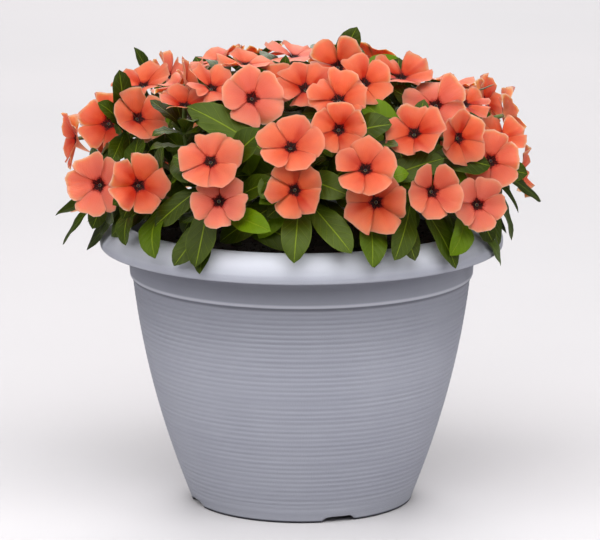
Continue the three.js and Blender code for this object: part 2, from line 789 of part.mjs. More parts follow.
// A leaf whose blade is to lie between two points, from the nearest site that leaves it clear
function reachLeaf(start, tip, halfWidth, bow, limit) {
  const near = leafSites
    .filter((site) => !site.taken && site.middle.distanceTo(tip) < limit)
    .sort((a, b) => a.middle.distanceTo(start) - b.middle.distanceTo(start));
  return near.slice(0, 14).some((site) => tryLeaf(site, tip, outwardAt(tip), halfWidth, bow));
}

frontLeaves.forEach(([startAcross, startUp, endAcross, endUp, halfWidth]) => {
  const start = onDome(startAcross, startUp);
  const end = onDome(endAcross, endUp);
  for (let step = 0; step <= 24; step++) {
    const slide = step % 2 ? step * 1.5 : -step * 1.5;
    const blade = start.clone().addScaledVector(towardsViewer, slide - 12);
    const tip = end.clone().addScaledVector(towardsViewer, slide);
    if (reachLeaf(blade, tip, halfWidth, leaf.bow, longest.front)) return;
  }
});

// Rings of leaves that droop over the rim and cover the soil
for (const ring of leafRings) {
  for (let k = 0; k < ring.count; k++) {
    const draw = seeded(30000 + ring.seed + k);
    for (let attempt = 0; attempt < 6; attempt++) {
      const bearing = (((k + ring.shift + (draw() - 0.5) * 0.7) * 360) / ring.count) * degrees;
      const outward = new THREE.Vector3(Math.sin(bearing), -Math.cos(bearing), 0);
      const tip = outward.clone().multiplyScalar(ring.tip.radius + (draw() - 0.5) * 10);
      tip.z = ring.tip.height + (draw() - 0.5) * 10;
      const swerve = new THREE.Vector3(-outward.y, outward.x, 0).multiplyScalar((draw() - 0.5) * 30);
      const start = outward.clone().multiplyScalar(ring.start.radius).add(swerve);
      start.z = ring.start.height;
      if (reachLeaf(start, tip, ring.halfWidth, ring.bow, longest.ring)) break;
    }
  }
}

// The rest stand in opposite pairs along the shoots, inside the dome
function outsideDome({ x, y, z }) {
  const rise = Math.max(z - dome.middle, 0) / dome.height;
  return Math.hypot(x / dome.radius, y / dome.radius, rise) > fill.reach;
}

function fillLeaves(segment, firstPitch, pitchStep) {
  [...shoots].reverse().forEach((stem, index) => {
    const along = stem.line[segment + 1].clone().sub(stem.line[segment]).normalize();
    const first = index % 2;
    for (const side of [first, first + 2]) {
      const site = leafSites.find((s) => s.stem === stem && s.segment === segment && s.side === side);
      const tilt = new THREE.Vector3().crossVectors(along, site.way);
      let done = site.taken;
      for (let step = 0; step < fill.lengths.length * fill.turns && !done; step++) {
        const length = fill.lengths[Math.floor(step / fill.turns)];
        const turn = step % fill.turns;
        const yaw = (turn % 2 ? 1 : -1) * Math.ceil(turn / 2) * 0.3;
        const pitch = (firstPitch + pitchStep * turn) * degrees;
        const aim = site.way.clone().multiplyScalar(Math.cos(yaw)).addScaledVector(tilt, Math.sin(yaw));
        aim.multiplyScalar(Math.cos(pitch)).addScaledVector(along, Math.sin(pitch));
        const tip = site.middle.clone().addScaledVector(aim, length);
        if (leafCount >= fill.most || tip.z < fill.lowest || outsideDome(tip)) continue;
        done = tryLeaf(site, tip, along, (fill.halfWidth * length) / 50, leaf.bow);
      }
    }
  });
}
fillLeaves(3, 25, -8);
fillLeaves(1, 10, 5);
// The part
const root = new THREE.Group();

function addMesh(name, solid, color, roughness) {
  const material = new THREE.MeshStandardMaterial({ color, roughness, metalness: 0 });
  const mesh = new THREE.Mesh(geometryFrom(solid), material);
  mesh.name = name;
  root.add(mesh);
}

addMesh("pot", potBody, colours.pot, 0.6);
addMesh("soil", soilBody, colours.soil, 1);
greens.forEach((pieces, plant) => {
  addMesh(`plant_${plant + 1}`, wasm.Manifold.union(pieces.map(limbSolid)), colours.leaf, 0.45);
});
blooms
  .filter(({ second }) => !second)
  .forEach(({ solid, partner }, k) => {
    const body = partner ? solid.add(partner.solid) : solid;
    addMesh(`bloom_${String(k + 1).padStart(2, "0")}`, body, colours.petal, 0.5);
  });

export default root;
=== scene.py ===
import math
import random

import bmesh
import bpy
import numpy
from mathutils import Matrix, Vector
from mathutils.bvhtree import BVHTree


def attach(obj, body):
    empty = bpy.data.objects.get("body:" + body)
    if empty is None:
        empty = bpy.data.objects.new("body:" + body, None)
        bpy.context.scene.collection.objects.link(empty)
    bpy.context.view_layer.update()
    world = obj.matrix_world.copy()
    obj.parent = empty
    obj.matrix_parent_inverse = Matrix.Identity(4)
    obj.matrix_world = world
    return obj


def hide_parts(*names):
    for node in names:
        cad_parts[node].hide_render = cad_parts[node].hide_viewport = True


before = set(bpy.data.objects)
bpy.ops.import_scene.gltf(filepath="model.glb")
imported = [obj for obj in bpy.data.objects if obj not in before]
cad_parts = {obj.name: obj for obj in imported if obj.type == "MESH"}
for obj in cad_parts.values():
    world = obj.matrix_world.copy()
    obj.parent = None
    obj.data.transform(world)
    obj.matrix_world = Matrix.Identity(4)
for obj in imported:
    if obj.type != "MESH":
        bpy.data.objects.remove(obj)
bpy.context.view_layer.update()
print("model loaded:", len(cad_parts), "nodes")

# Short ways to write node formulas


class Value:  # a number field: the usual signs add Math nodes
    kind = "ShaderNodeMath"

    def __init__(self, tree, socket):
        self.tree = tree
        self.socket = socket

    def use(self, operation, *others):
        node = addNode(self.tree, self.kind, operation=operation)
        for socket, value in zip(node.inputs, (self, *others)):
            feed(self.tree, socket, value)
        live = [output for output in node.outputs if output.enabled]
        return wrap(self.tree, live[0])

    def __add__(self, other):
        return self.use("ADD", other)

    def __sub__(self, other):
        return self.use("SUBTRACT", other)

    def __mul__(self, other):
        return self.use("MULTIPLY", other)

    def __truediv__(self, other):
        return self.use("DIVIDE", other)

    def __pow__(self, other):
        return self.use("POWER", other)

    def flip(self):  # one less this
        return self * -1.0 + 1.0

    def size(self):
        return self.use("ABSOLUTE")

    def sine(self):
        return self.use("SINE")

    def again(self, factor):  # another chance drawn from this one
        return (self * factor).use("FRACT")

    def clamp(self):
        return self.use("MAXIMUM", 0.0).use("MINIMUM", 1.0)

    def ramp(self, low, high):  # 0 at low, 1 at high, eased
        ends = {"Value": self, "From Min": low, "From Max": high}
        node = addNode(self.tree, "ShaderNodeMapRange", ends, interpolation_type="SMOOTHSTEP")
        return Value(self.tree, node.outputs[0])


class Arrow(Value):  # a vector field
    kind = "ShaderNodeVectorMath"

    def scaled(self, factor):
        node = addNode(self.tree, self.kind, {0: self, "Scale": factor}, operation="SCALE")
        return Arrow(self.tree, node.outputs[0])

    def cross(self, other):
        return self.use("CROSS_PRODUCT", other)

    def parts(self):
        node = addNode(self.tree, "ShaderNodeSeparateXYZ", {0: self})
        return [Value(self.tree, output) for output in node.outputs]


def wrap(tree, socket):
    return (Arrow if socket.type in ("VECTOR", "RGBA") else Value)(tree, socket)


def feed(tree, socket, value):
    if isinstance(value, Value):
        value = value.socket
    if isinstance(value, bpy.types.NodeSocket):
        tree.links.new(value, socket)
    else:
        socket.default_value = value


def addNode(tree, kind, inputs=None, **settings):
    node = tree.nodes.new(kind)
    for key, value in settings.items():
        setattr(node, key, value)
    for key, value in (inputs or {}).items():
        feed(tree, node.inputs[key], value)
    return node


def joined(tree, x, y, z):  # three numbers into one vector
    return Arrow(tree, addNode(tree, "ShaderNodeCombineXYZ", {0: x, 1: y, 2: z}).outputs[0])


def noise(tree, place, scale, detail):
    node = addNode(tree, "ShaderNodeTexNoise", {"Vector": place, "Scale": scale, "Detail": detail})
    return Value(tree, node.outputs[0])


# Geometry Nodes trees

sharpTurn = 1.2  # faces that meet at more than this angle keep a crisp edge


def shapeTree(name, numbers):  # a tree with named inputs, whole numbers or sizes, ready to be read
    tree = bpy.data.node_groups.new(name, "GeometryNodeTree")
    tree.interface.new_socket("Geometry", in_out="INPUT", socket_type="NodeSocketGeometry")
    for key, value in numbers.items():
        kind = "NodeSocketInt" if isinstance(value, int) else "NodeSocketFloat"
        tree.interface.new_socket(key, in_out="INPUT", socket_type=kind)
    tree.interface.new_socket("Material", in_out="INPUT", socket_type="NodeSocketMaterial")
    tree.interface.new_socket("Geometry", in_out="OUTPUT", socket_type="NodeSocketGeometry")
    given = addNode(tree, "NodeGroupInput")
    return tree, given, {key: Value(tree, given.outputs[key]) for key in numbers}


def through(tree, kind, geometry, inputs=None, **settings):  # the geometry after one more node
    return addNode(tree, kind, {"Geometry": geometry, **(inputs or {})}, **settings).outputs[0]


def endTree(tree, given, geometry, smooth=True):
    geometry = through(tree, "GeometryNodeRealizeInstances", geometry)
    geometry = through(tree, "GeometryNodeSetShadeSmooth", geometry, {"Shade Smooth": smooth})
    turned = addNode(tree, "GeometryNodeInputMeshEdgeAngle").outputs["Unsigned Angle"]
    sharp = {"Selection": Value(tree, turned).use("GREATER_THAN", sharpTurn), "Shade Smooth": False}
    geometry = through(tree, "GeometryNodeSetShadeSmooth", geometry, sharp, domain="EDGE")
    geometry = through(tree, "GeometryNodeSetMaterial", geometry, {"Material": given.outputs["Material"]})
    tree.links.new(geometry, addNode(tree, "NodeGroupOutput").inputs[0])
    return tree


def position(tree):
    return wrap(tree, addNode(tree, "GeometryNodeInputPosition").outputs[0])


def movedTo(tree, geometry, place):
    return through(tree, "GeometryNodeSetPosition", geometry, {"Position": place})


def movedBy(tree, geometry, offset):
    return through(tree, "GeometryNodeSetPosition", geometry, {"Offset": offset})


def together(tree, *parts):
    node = tree.nodes.new("GeometryNodeJoinGeometry")
    for part in parts:
        tree.links.new(part, node.inputs[0])
    return node.outputs[0]


def onPoints(tree, points, shape, **more):  # one copy of a shape for each point
    inputs = {"Points": points, "Instance": shape, **more}
    return addNode(tree, "GeometryNodeInstanceOnPoints", inputs).outputs[0]


def turnedTo(tree, direction, axis):
    return addNode(tree, "FunctionNodeAlignRotationToVector", {"Vector": direction}, axis=axis).outputs[0]


def readFields(tree, names, dataType="FLOAT"):
    kind = "GeometryNodeInputNamedAttribute"
    nodes = [addNode(tree, kind, {"Name": name}, data_type=dataType) for name in names]
    return [wrap(tree, node.outputs[0]) for node in nodes]


def storeField(tree, geometry, name, value, dataType="FLOAT", domain="POINT"):
    kind = "GeometryNodeStoreNamedAttribute"
    return through(tree, kind, geometry, {"Name": name, "Value": value}, data_type=dataType, domain=domain)


# A closed unit sheet in two skins that meet at the edges: spot holds its place, across from
# -1 to 1 and along from 0 to 1, and under is 1 on the lower skin
def sheetNodes(tree, across, along):
    crowding = 1.3  # columns lie closer together towards the sides
    skins = []
    for under in (0.0, 1.0):
        size = {"Size X": 2.0, "Size Y": 1.0, "Vertices X": across, "Vertices Y": along}
        grid = addNode(tree, "GeometryNodeMeshGrid", size).outputs[0]
        x, y, _ = position(tree).parts()
        inside = (x * x).use("LESS_THAN", 0.999) * y.size().use("LESS_THAN", 0.4999)
        spot = joined(tree, (x * crowding).sine() / math.sin(crowding), y + 0.5, inside * (0.5 - under))
        skin = storeField(tree, grid, "spot", spot, "FLOAT_VECTOR")
        skin = storeField(tree, skin, "under", under, "FLOAT", "FACE")
        skin = movedBy(tree, skin, joined(tree, 0.0, 0.0, inside * (0.1 - 0.2 * under)))
        if under:
            skin = addNode(tree, "GeometryNodeFlipFaces", {"Mesh": skin}).outputs[0]
        skins.append(skin)
    return through(tree, "GeometryNodeMergeByDistance", together(tree, *skins), {"Distance": 0.001})


def sheetOnPoints(tree, given, get):  # a real sheet for each point, to be bent by the point's own values
    copies = onPoints(tree, given.outputs["Geometry"], sheetNodes(tree, get["Across"], get["Along"]))
    return through(tree, "GeometryNodeRealizeInstances", copies)


def pointObject(name, rows):  # loose points, each with its own named values
    mesh = bpy.data.meshes.new(name)
    mesh.from_pydata([tuple(row["origin"]) for row in rows], [], [])
    for key, first in rows[0].items():
        flat = isinstance(first, (int, float))
        field = mesh.attributes.new(key, "FLOAT" if flat else "FLOAT_VECTOR", "POINT")
        if flat:
            field.data.foreach_set("value", [float(row[key]) for row in rows])
        else:
            field.data.foreach_set("vector", [c for row in rows for c in row[key]])
    return linked(name, mesh)


def linked(name, mesh):
    obj = bpy.data.objects.new(name, mesh)
    bpy.context.scene.collection.objects.link(obj)
    return obj


def meshOf(name, bm):
    mesh = bpy.data.meshes.new(name)
    bm.to_mesh(mesh)
    bm.free()
    return mesh


def grow(obj, tree, numbers, material):  # run the tree on an object and keep the result as a plain mesh
    modifier = obj.modifiers.new(tree.name, "NODES")
    modifier.node_group = tree
    values = {**numbers, "Material": material}
    for item in tree.interface.items_tree:
        if item.in_out == "INPUT" and item.name in values:
            modifier[item.identifier] = values[item.name]
    return settle(obj)


def settle(obj):
    graph = bpy.context.evaluated_depsgraph_get()
    made = obj.evaluated_get(graph)
    mesh = bpy.data.meshes.new_from_object(made, preserve_all_data_layers=True, depsgraph=graph)
    obj.modifiers.clear()
    plain, obj.data = obj.data, mesh
    bpy.data.meshes.remove(plain)
    mesh.name = obj.name
    return obj


def dress(piece, slotName, *nodeNames):
    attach(piece, "root")
    if nodeNames:
        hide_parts(*nodeNames)
    print(piece.name, len(piece.data.polygons), "faces")


def chanceOf(*numbers):  # a repeatable number from 0 to 1
    return random.Random(repr(numbers)).random()


def between(ends, share):
    return ends[0] + (ends[1] - ends[0]) * share


def turnBetween(first, second):  # from -pi to pi
    return (first - second + math.pi) % (2 * math.pi) - math.pi


# Shader groups that several materials share


def shaderGroup(name, inputs, outputs):
    tree = bpy.data.node_groups.new(name, "ShaderNodeTree")
    for key, value in inputs.items():
        kind = "NodeSocketVector" if isinstance(value, tuple) else "NodeSocketFloat"
        socket = tree.interface.new_socket(key, in_out="INPUT", socket_type=kind)
        socket.default_value = value
    for key in outputs:
        tree.interface.new_socket(key, in_out="OUTPUT", socket_type="NodeSocketFloat")
    given = tree.nodes.new("NodeGroupInput")
    out = tree.nodes.new("NodeGroupOutput")
    return tree, {key: wrap(tree, given.outputs[key]) for key in inputs}, out


def buildMottle():  # broad clouds and fine grain at a place on the surface
    inputs = {"Place": (0.0, 0.0, 0.0), "Broad": 20.0, "Fine": 400.0}
    tree, given, out = shaderGroup("mottle", inputs, ["Clouds", "Grain"])
    for key, scale, detail in (("Clouds", "Broad", 3.0), ("Grain", "Fine", 2.0)):
        feed(tree, out.inputs[key], noise(tree, given["Place"], given[scale], detail).ramp(0.3, 0.7))
    return tree


def buildVeins():  # a midrib and slanting side veins, across from -1 to 1 and along from 0 to 1
    inputs = {"Across": 0.0, "Along": 0.0, "Count": 9.0, "Slant": 0.2, "Rib": 0.05, "Fineness": 0.16}
    tree, given, out = shaderGroup("veins", inputs, ["Rib", "Side", "Height"])
    away = given["Across"].size()
    rib = away.ramp(given["Rib"] * 1.6, given["Rib"] * 0.4)
    phase = ((given["Along"] - (away ** 0.8) * given["Slant"]) * given["Count"]).use("FRACT")
    near = (phase - 0.5).size() * 2.0  # 1 on a vein
    side = near.ramp(given["Fineness"].flip(), 1.0) * away.ramp(1.0, 0.75)
    feed(tree, out.inputs["Rib"], rib)
    feed(tree, out.inputs["Side"], side)
    feed(tree, out.inputs["Height"], near.flip() * 0.6 - side * 0.4 - rib)
    return tree


mottleGroup = buildMottle()
veinsGroup = buildVeins()


def groupNode(tree, group, inputs):
    node = addNode(tree, "ShaderNodeGroup", inputs, node_tree=group)
    return [Value(tree, output) for output in node.outputs]


def objectPlace(tree):
    return Arrow(tree, addNode(tree, "ShaderNodeTexCoord").outputs["Object"])


def mottle(tree, broad, fine):  # clouds and grain
    return groupNode(tree, mottleGroup, {"Place": objectPlace(tree), "Broad": broad, "Fine": fine})


def veins(tree, across, along, numbers):  # rib, side and height
    return groupNode(tree, veinsGroup, {"Across": across, "Along": along, **numbers})


def newMaterial(name, look):  # the look's fixed values sit on the shader's own sockets
    material = bpy.data.materials.new(name)
    material.use_nodes = True
    tree = material.node_tree
    shader = tree.nodes["Principled BSDF"]
    for key, value in look["shader"].items():
        shader.inputs[key].default_value = value
    return material, tree, shader, *mottle(tree, look["clouds"], look["grain"])


def masksIn(tree, *names):  # number attributes of the mesh
    nodes = [addNode(tree, "ShaderNodeAttribute", attribute_name=name) for name in names]
    return [Value(tree, node.outputs["Fac"]) for node in nodes]


def spotIn(tree):  # across and along on a sheet
    node = addNode(tree, "ShaderNodeAttribute", attribute_name="spot")
    return Arrow(tree, node.outputs["Vector"]).parts()[:2]


def colour(*paint):  # from the 0-255 numbers of a paint chip
    shares = [number / 255 for number in paint]
    return (*(s / 12.92 if s <= 0.04045 else ((s + 0.055) / 1.055) ** 2.4 for s in shares), 1.0)


def blend(tree, share, first, second):
    node = addNode(tree, "ShaderNodeMix", {0: share, 6: first, 7: second}, data_type="RGBA")
    return node.outputs[2]


def layered(tree, base, look, coats):  # coats of one colour of the look each, laid over the base in turn
    for share, name in coats:
        base = blend(tree, share, base, look[name])
    return base


def finish(tree, shader, base, height, distance, strength=1.0, roughness=None):
    feed(tree, shader.inputs["Base Color"], base)
    if roughness:
        feed(tree, shader.inputs["Roughness"], roughness)
    bump = addNode(tree, "ShaderNodeBump", {"Height": height, "Distance": distance, "Strength": strength})
    tree.links.new(bump.outputs[0], shader.inputs["Normal"])


# The planter

planter = {
    "shape": {  # metres, as the model has them
        "bodyFoot": (0.0852, 0.004), "bodyTop": (0.128, 0.173), "bulge": 0.006, "wall": 0.003,
        "columns": 144, "ringsPerRib": 6, "footInside": 0.0762, "footMiddle": 0.0805, "footHeight": 0.005,
        "footTop": 0.0075, "floorTop": 0.0095, "floorInset": 0.0005, "floorRound": 0.002,
        "notchFirst": 19.5, "notchCount": 4, "notchFoot": 0.027, "notchTop": 0.019, "notchHeight": 0.0046,
        "drainRadius": 0.0055, "drainReach": 0.062, "drainMiddle": 0.007, "drainDepth": 0.02,
    },
    "foot": [  # radius, height and how far the corner is rounded off
        (0, 0.005, 0), (0.03, 0.005, 0), (0.055, 0.005, 0), (0.0755, 0.005, 0.0008),
        (0.077, 0.0, 0.0006), (0.084, 0.0, 0.0012), (0.0852, 0.004, 0.001),
    ],
    "lip": [
        (0.1281, 0.1731, 0.0004), (0.1299, 0.1745, 0.0006), (0.1304, 0.1815, 0), (0.1309, 0.187, 0),
        (0.1314, 0.1925, 0), (0.1322, 0.2035, 0.004), (0.1378, 0.2142, 0.004), (0.1459, 0.2078, 0.004),
        (0.1491, 0.1985, 0.002), (0.1497, 0.1969, 0.0005), (0.1523, 0.1969, 0.0011), (0.1527, 0.2012, 0.0012),
        (0.1522, 0.2035, 0.0008), (0.1475, 0.2112, 0.003), (0.1425, 0.2158, 0.002), (0.1375, 0.2180, 0.003),
        (0.1335, 0.2165, 0.002), (0.1302, 0.2118, 0.002), (0.1285, 0.2, 0.001),
    ],
    "floor": [(0.07, 0.009, 0), (0.055, 0.009, 0), (0.03, 0.009, 0), (0, 0.009, 0)],
    "inside": (0.173, 0.14, 0.1, 0.06, 0.025),  # heights on the inner wall
    "ribs": {"Ribs": 43, "Depth": 0.0005, "Low": 0.011, "High": 0.1722, "Waver": 0.9, "Fade": 0.42},
    "bands": {  # the heights where a mark starts and where it is full
        # all bands but dust place painted light and shade: shade on the neck, under its step, under the lip
        # and at the foot, highlights on the neck's edge and on top of the lip
        "dust": (0.03, 0.0), "neck": (0.1742, 0.1752), "neckTop": (0.1985, 0.196), "edge": (0.1775, 0.1758),
        "line": (0.171, 0.1728), "lineTop": (0.1745, 0.1738), "grime": (0.11, 0.17),
        "grimeTop": (0.1745, 0.1735), "ground": (0.0026, 0.0012), "worn": (0.19, 0.2),
        "wornTop": (0.2, 0.214),
    },
    "look": {
        "body": colour(149, 151, 161), "deep": colour(140, 142, 153), "dust": colour(164, 166, 173),
        # lip and edge are painted highlights, line is painted shade and ground a painted contact shadow
        "lip": colour(199, 201, 210), "edge": colour(176, 177, 186), "line": colour(74, 75, 84),
        "ground": colour(48, 48, 54), "roughness": 0.6, "clouds": 14.0, "grain": 1500.0,
        "shader": {"Specular IOR Level": 0.16},
    },
}


def bodyRadius(height):  # for a number and for a field alike
    shape = planter["shape"]
    (footRadius, footHeight), (topRadius, topHeight) = shape["bodyFoot"], shape["bodyTop"]
    share = (height - footHeight) / (topHeight - footHeight)
    bulge = share * (share * -1.0 + 1.0) * (4 * shape["bulge"])
    return share * (topRadius - footRadius) + bulge + footRadius


def rounded(points, steps=3):  # the same outline with its corners rounded
    line = []
    for i, (r, z, cut) in enumerate(points):
        here = Vector((r, z))
        if not cut or i in (0, len(points) - 1):
            line.append(here)
            continue
        before = here + (Vector(points[i - 1][:2]) - here).normalized() * cut
        after = here + (Vector(points[i + 1][:2]) - here).normalized() * cut
        for k in range(steps + 1):
            t = k / steps
            line.append(before * (1 - t) ** 2 + here * 2 * t * (1 - t) + after * t ** 2)
    return line


def planterOutline():
    shape, ribs = planter["shape"], planter["ribs"]
    rings = ribs["Ribs"] * shape["ringsPerRib"]
    levels = [between((ribs["Low"], ribs["High"]), k / rings) for k in range(rings + 1)]
    foot = planter["foot"] + [(bodyRadius(shape["footTop"]), shape["footTop"], 0)]
    body = [(bodyRadius(z), z, 0) for z in levels]
    inner = [(bodyRadius(z) - shape["wall"], z, 0) for z in planter["inside"]]
    cornerRadius = bodyRadius(shape["floorTop"]) - shape["wall"] - shape["floorInset"]
    corner = [(cornerRadius, shape["floorTop"], shape["floorRound"])]
    lines = (foot, body, planter["lip"], inner + corner + planter["floor"])
    return [spot for line in lines for spot in rounded(line)]


def notchBearings():
    shape = planter["shape"]
    turns = [k * 360 / shape["notchCount"] for k in range(shape["notchCount"])]
    return [math.radians(shape["notchFirst"] + turn - 90) for turn in turns]


def notchedHeight(angle, radius, height):  # the foot ring is cut away at the notches
    shape = planter["shape"]
    if radius <= shape["footInside"] or height >= shape["footHeight"]:
        return height
    for middle in notchBearings():
        apart = abs(turnBetween(angle, middle)) * radius
        slope = (shape["notchFoot"] / 2 - apart) / (shape["notchFoot"] / 2 - shape["notchTop"] / 2)
        if slope > 0:
            return max(height, min(slope, 1) * shape["notchHeight"])
    return height


def evenAngles(count):
    return [2 * math.pi * k / count for k in range(count)]


def planterAngles():  # even columns, and more at the edges of the notches
    shape = planter["shape"]
    angles = evenAngles(shape["columns"])
    for middle in notchBearings():
        for half in (shape["notchFoot"] / 2, shape["notchTop"] / 2):
            for way in (-1, 1):
                edge = (middle + way * half / shape["footMiddle"]) % (2 * math.pi)
                angles = [a for a in angles if abs(a - edge) > 0.012] + [edge]
    return sorted(angles)


def turnedMesh(name, outline, angles, shift=None):  # turned about the z axis and closed at both ends
    bm = bmesh.new()
    rings = []
    for radius, height in outline:
        if radius == 0:
            rings.append([bm.verts.new((0, 0, height))])
            continue
        levels = [shift(angle, radius, height) if shift else height for angle in angles]
        spots = [(radius * math.cos(a), radius * math.sin(a), z) for a, z in zip(angles, levels)]
        rings.append([bm.verts.new(spot) for spot in spots])
    for lower, upper in zip(rings, rings[1:]):
        for k in range(len(angles)):
            after = (k + 1) % len(angles)
            if len(lower) == 1:
                bm.faces.new((lower[0], upper[after], upper[k]))
            elif len(upper) == 1:
                bm.faces.new((lower[k], lower[after], upper[0]))
            else:
                bm.faces.new((lower[k], lower[after], upper[after], upper[k]))
    bmesh.ops.remove_doubles(bm, verts=bm.verts, dist=1e-6)
    bmesh.ops.recalc_face_normals(bm, faces=bm.faces)
    return meshOf(name, bm)


def ribTree():  # fine ribs round the body, which waver a little in depth
    tree, given, get = shapeTree("planterRibs", planter["ribs"])
    place = position(tree)
    normal = wrap(tree, addNode(tree, "GeometryNodeInputNormal").outputs[0])
    x, y, z = place.parts()
    share = (z - get["Low"]) / (get["High"] - get["Low"])
    wave = ((share * get["Ribs"] * (2 * math.pi)).use("COSINE") * 0.5 + 0.5) ** 1.6
    uneven = (noise(tree, place * (14.0, 14.0, 120.0), 1.0, 2.0) - 0.5) * get["Waver"] * 2.0 + 1.0
    uneven = uneven * (share.ramp(0.55, 0.95) * get["Fade"].flip() + get["Fade"])
    radius = (x * x + y * y).use("SQRT")
    outside = (radius - bodyRadius(z)).size().use("LESS_THAN", 0.0006)
    within = share.use("GREATER_THAN", 0.0) * share.flip().use("GREATER_THAN", 0.0) * outside
    offset = normal.scaled(wave * uneven * get["Depth"] * within * -1.0)
    return endTree(tree, given, movedBy(tree, given.outputs["Geometry"], offset))


def planterMaterial():
    look = planter["look"]
    material, tree, shader, clouds, grain = newMaterial("planterPlastic", look)
    place = objectPlace(tree)
    z = place.parts()[2]
    band = {name: z.ramp(*heights) for name, heights in planter["bands"].items()}
    streaks = noise(tree, place * (6.0, 6.0, 240.0), 1.0, 3.0).ramp(0.35, 0.7)
    crest = Value(tree, addNode(tree, "ShaderNodeNewGeometry").outputs["Pointiness"]).ramp(0.5, 0.56)
    neck = band["neck"] * band["neckTop"]
    base = blend(tree, clouds * 0.5 + streaks * 0.3, look["body"], look["deep"])
    base = layered(tree, base, look, [
        # paler in clouds towards the foot, and paler on sharp ridges
        (band["dust"] * clouds * 0.4 + crest * 0.3, "dust"),
        # painted shade: the neck darker, in the shadow of the lip
        (neck * 0.3, "line"),
        # painted highlight: a pale line along the neck's lower edge, where it catches the light
        (neck * band["edge"] * 0.75, "edge"),
        # painted shadow: a dark line just under the neck's step
        (band["lineTop"] * band["line"] * 0.6, "line"),
        # painted shade: the top of the body darker under the overhanging lip
        (band["grime"] * band["grimeTop"] * 0.3, "line"),
        # painted contact shadow: dark along the lowest millimetre of the foot
        (band["ground"], "ground"),
        (band["worn"] * 0.1 + band["wornTop"] * 0.9, "lip"),  # painted highlight: the plastic palest on top of the lip, where the light falls
    ])
    roughness = grain * 0.08 + clouds * 0.06 + look["roughness"]
    finish(tree, shader, base, grain * 0.5 + streaks, 0.00012, roughness=roughness)
    return material


def buildPlanter():
    shape = planter["shape"]
    mesh = turnedMesh("planter_shell", planterOutline(), planterAngles(), notchedHeight)
    shell = linked("planter_shell", mesh)
    bores = bmesh.new()
    for bearing in notchBearings():
        radius, reach = shape["drainRadius"], shape["drainReach"]
        made = bmesh.ops.create_cone(
            bores, cap_ends=True, segments=24, radius1=radius, radius2=radius, depth=shape["drainDepth"])
        middle = (reach * math.cos(bearing), reach * math.sin(bearing), shape["drainMiddle"])
        bmesh.ops.translate(bores, verts=made["verts"], vec=middle)
    cutter = linked("drainBores", meshOf("drainBores", bores))
    cut = shell.modifiers.new("drains", "BOOLEAN")
    cut.object = cutter
    cut.solver = "EXACT"
    settle(shell)
    bpy.data.objects.remove(cutter)
    grow(shell, ribTree(), planter["ribs"], planterMaterial())
    dress(shell, "planter", "pot")


# The potting mix

pottingMix = {
    "shape": {
        "columns": 96, "rings": 26, "gap": 0.0036, "inside": (0.05, 0.092, 0.13, 0.172),
        "bottom": 0.0093, "neck": 0.1242, "neckHeights": (0.18, 0.1985), "wide": 0.123,
        "crown": 0.206, "crownDrop": 0.003, "shoulder": 0.088, "shoulderWide": 0.037, "rimDrop": 0.004,
        "topFrom": 0.1975, "topArea": 0.0151,  # the crumbs' lowest height, and their reach squared
    },
    "crumbs": {"Lump": 0.0022, "Scale": 90.0, "Crumbs": 900.0, "Crumb": 0.0016, "Seed": 4},
    "look": {
        "dark": colour(15, 11, 9), "mid": colour(32, 24, 18), "pale": colour(66, 52, 40),
        "roughness": 0.8, "clouds": 120.0, "grain": 900.0, "shader": {"Specular IOR Level": 0.25},
    },
}


def mixOutline():
    shape = pottingMix["shape"]
    line = [(0, shape["bottom"]), (bodyRadius(0.012) - shape["gap"] - 0.003, 0.0095)]
    line += [(bodyRadius(z) - shape["gap"], z) for z in shape["inside"]]
    line += [(shape["neck"], z) for z in shape["neckHeights"]]
    for k in range(shape["rings"], 0, -1):
        radius = shape["wide"] * k / shape["rings"]
        within = min(radius / shape["shoulder"], 1)
        beyond = max(radius - shape["shoulder"], 0) / shape["shoulderWide"]
        line.append((radius, shape["crown"] - within * shape["crownDrop"] - beyond * shape["rimDrop"]))
    return line + [(0, shape["crown"])]


def randomSize(tree, seed, low, high):  # a random vector for each point
    node = addNode(tree, "FunctionNodeRandomValue", {"Seed": seed}, data_type="FLOAT_VECTOR")
    node.inputs["Min"].default_value = low
    node.inputs["Max"].default_value = high
    return Arrow(tree, node.outputs[0])


def mixTree():
    tree, given, get = shapeTree("pottingMix", pottingMix["crumbs"])
    place = position(tree)
    x, y, z = place.parts()
    shape = pottingMix["shape"]
    top = z.use("GREATER_THAN", shape["topFrom"]) * (x * x + y * y).use("LESS_THAN", shape["topArea"])
    lift = (noise(tree, place, get["Scale"], 4.0) - 0.5) * 2.0 * get["Lump"] * top
    ground = movedBy(tree, given.outputs["Geometry"], joined(tree, 0.0, 0.0, lift))
    crumb = addNode(tree, "GeometryNodeMeshIcoSphere", {"Radius": 1.0, "Subdivisions": 1}).outputs[0]
    spread = {"Mesh": ground, "Selection": top, "Density": get["Crumbs"] * 20.0, "Seed": get["Seed"]}
    points = addNode(tree, "GeometryNodeDistributePointsOnFaces", spread).outputs["Points"]
    roll = randomSize(tree, get["Seed"], (0.0, 0.0, 0.0), (6.28, 6.28, 6.28))
    size = randomSize(tree, get["Seed"], (0.25, 0.3, 0.2), (1.3, 1.0, 0.8)).scaled(get["Crumb"])
    crumbs = onPoints(tree, points, crumb, Rotation=roll, Scale=size)
    return endTree(tree, given, together(tree, ground, crumbs), smooth=False)


def mixMaterial():
    look = pottingMix["look"]
    material, tree, shader, clouds, grain = newMaterial("pottingMix", look)
    base = blend(tree, clouds, look["dark"], look["mid"])
    base = blend(tree, grain ** 4.0 * 0.6, base, look["pale"])
    finish(tree, shader, base, grain + clouds, 0.0006, roughness=grain * 0.15 + look["roughness"])
    return material


def buildMix():
    angles = evenAngles(pottingMix["shape"]["columns"])
    mix = linked("potting_mix", turnedMesh("potting_mix", mixOutline(), angles))
    grow(mix, mixTree(), pottingMix["crumbs"], mixMaterial())
    dress(mix, "potting_mix", "soil")


# Reading the model's blooms and leaves

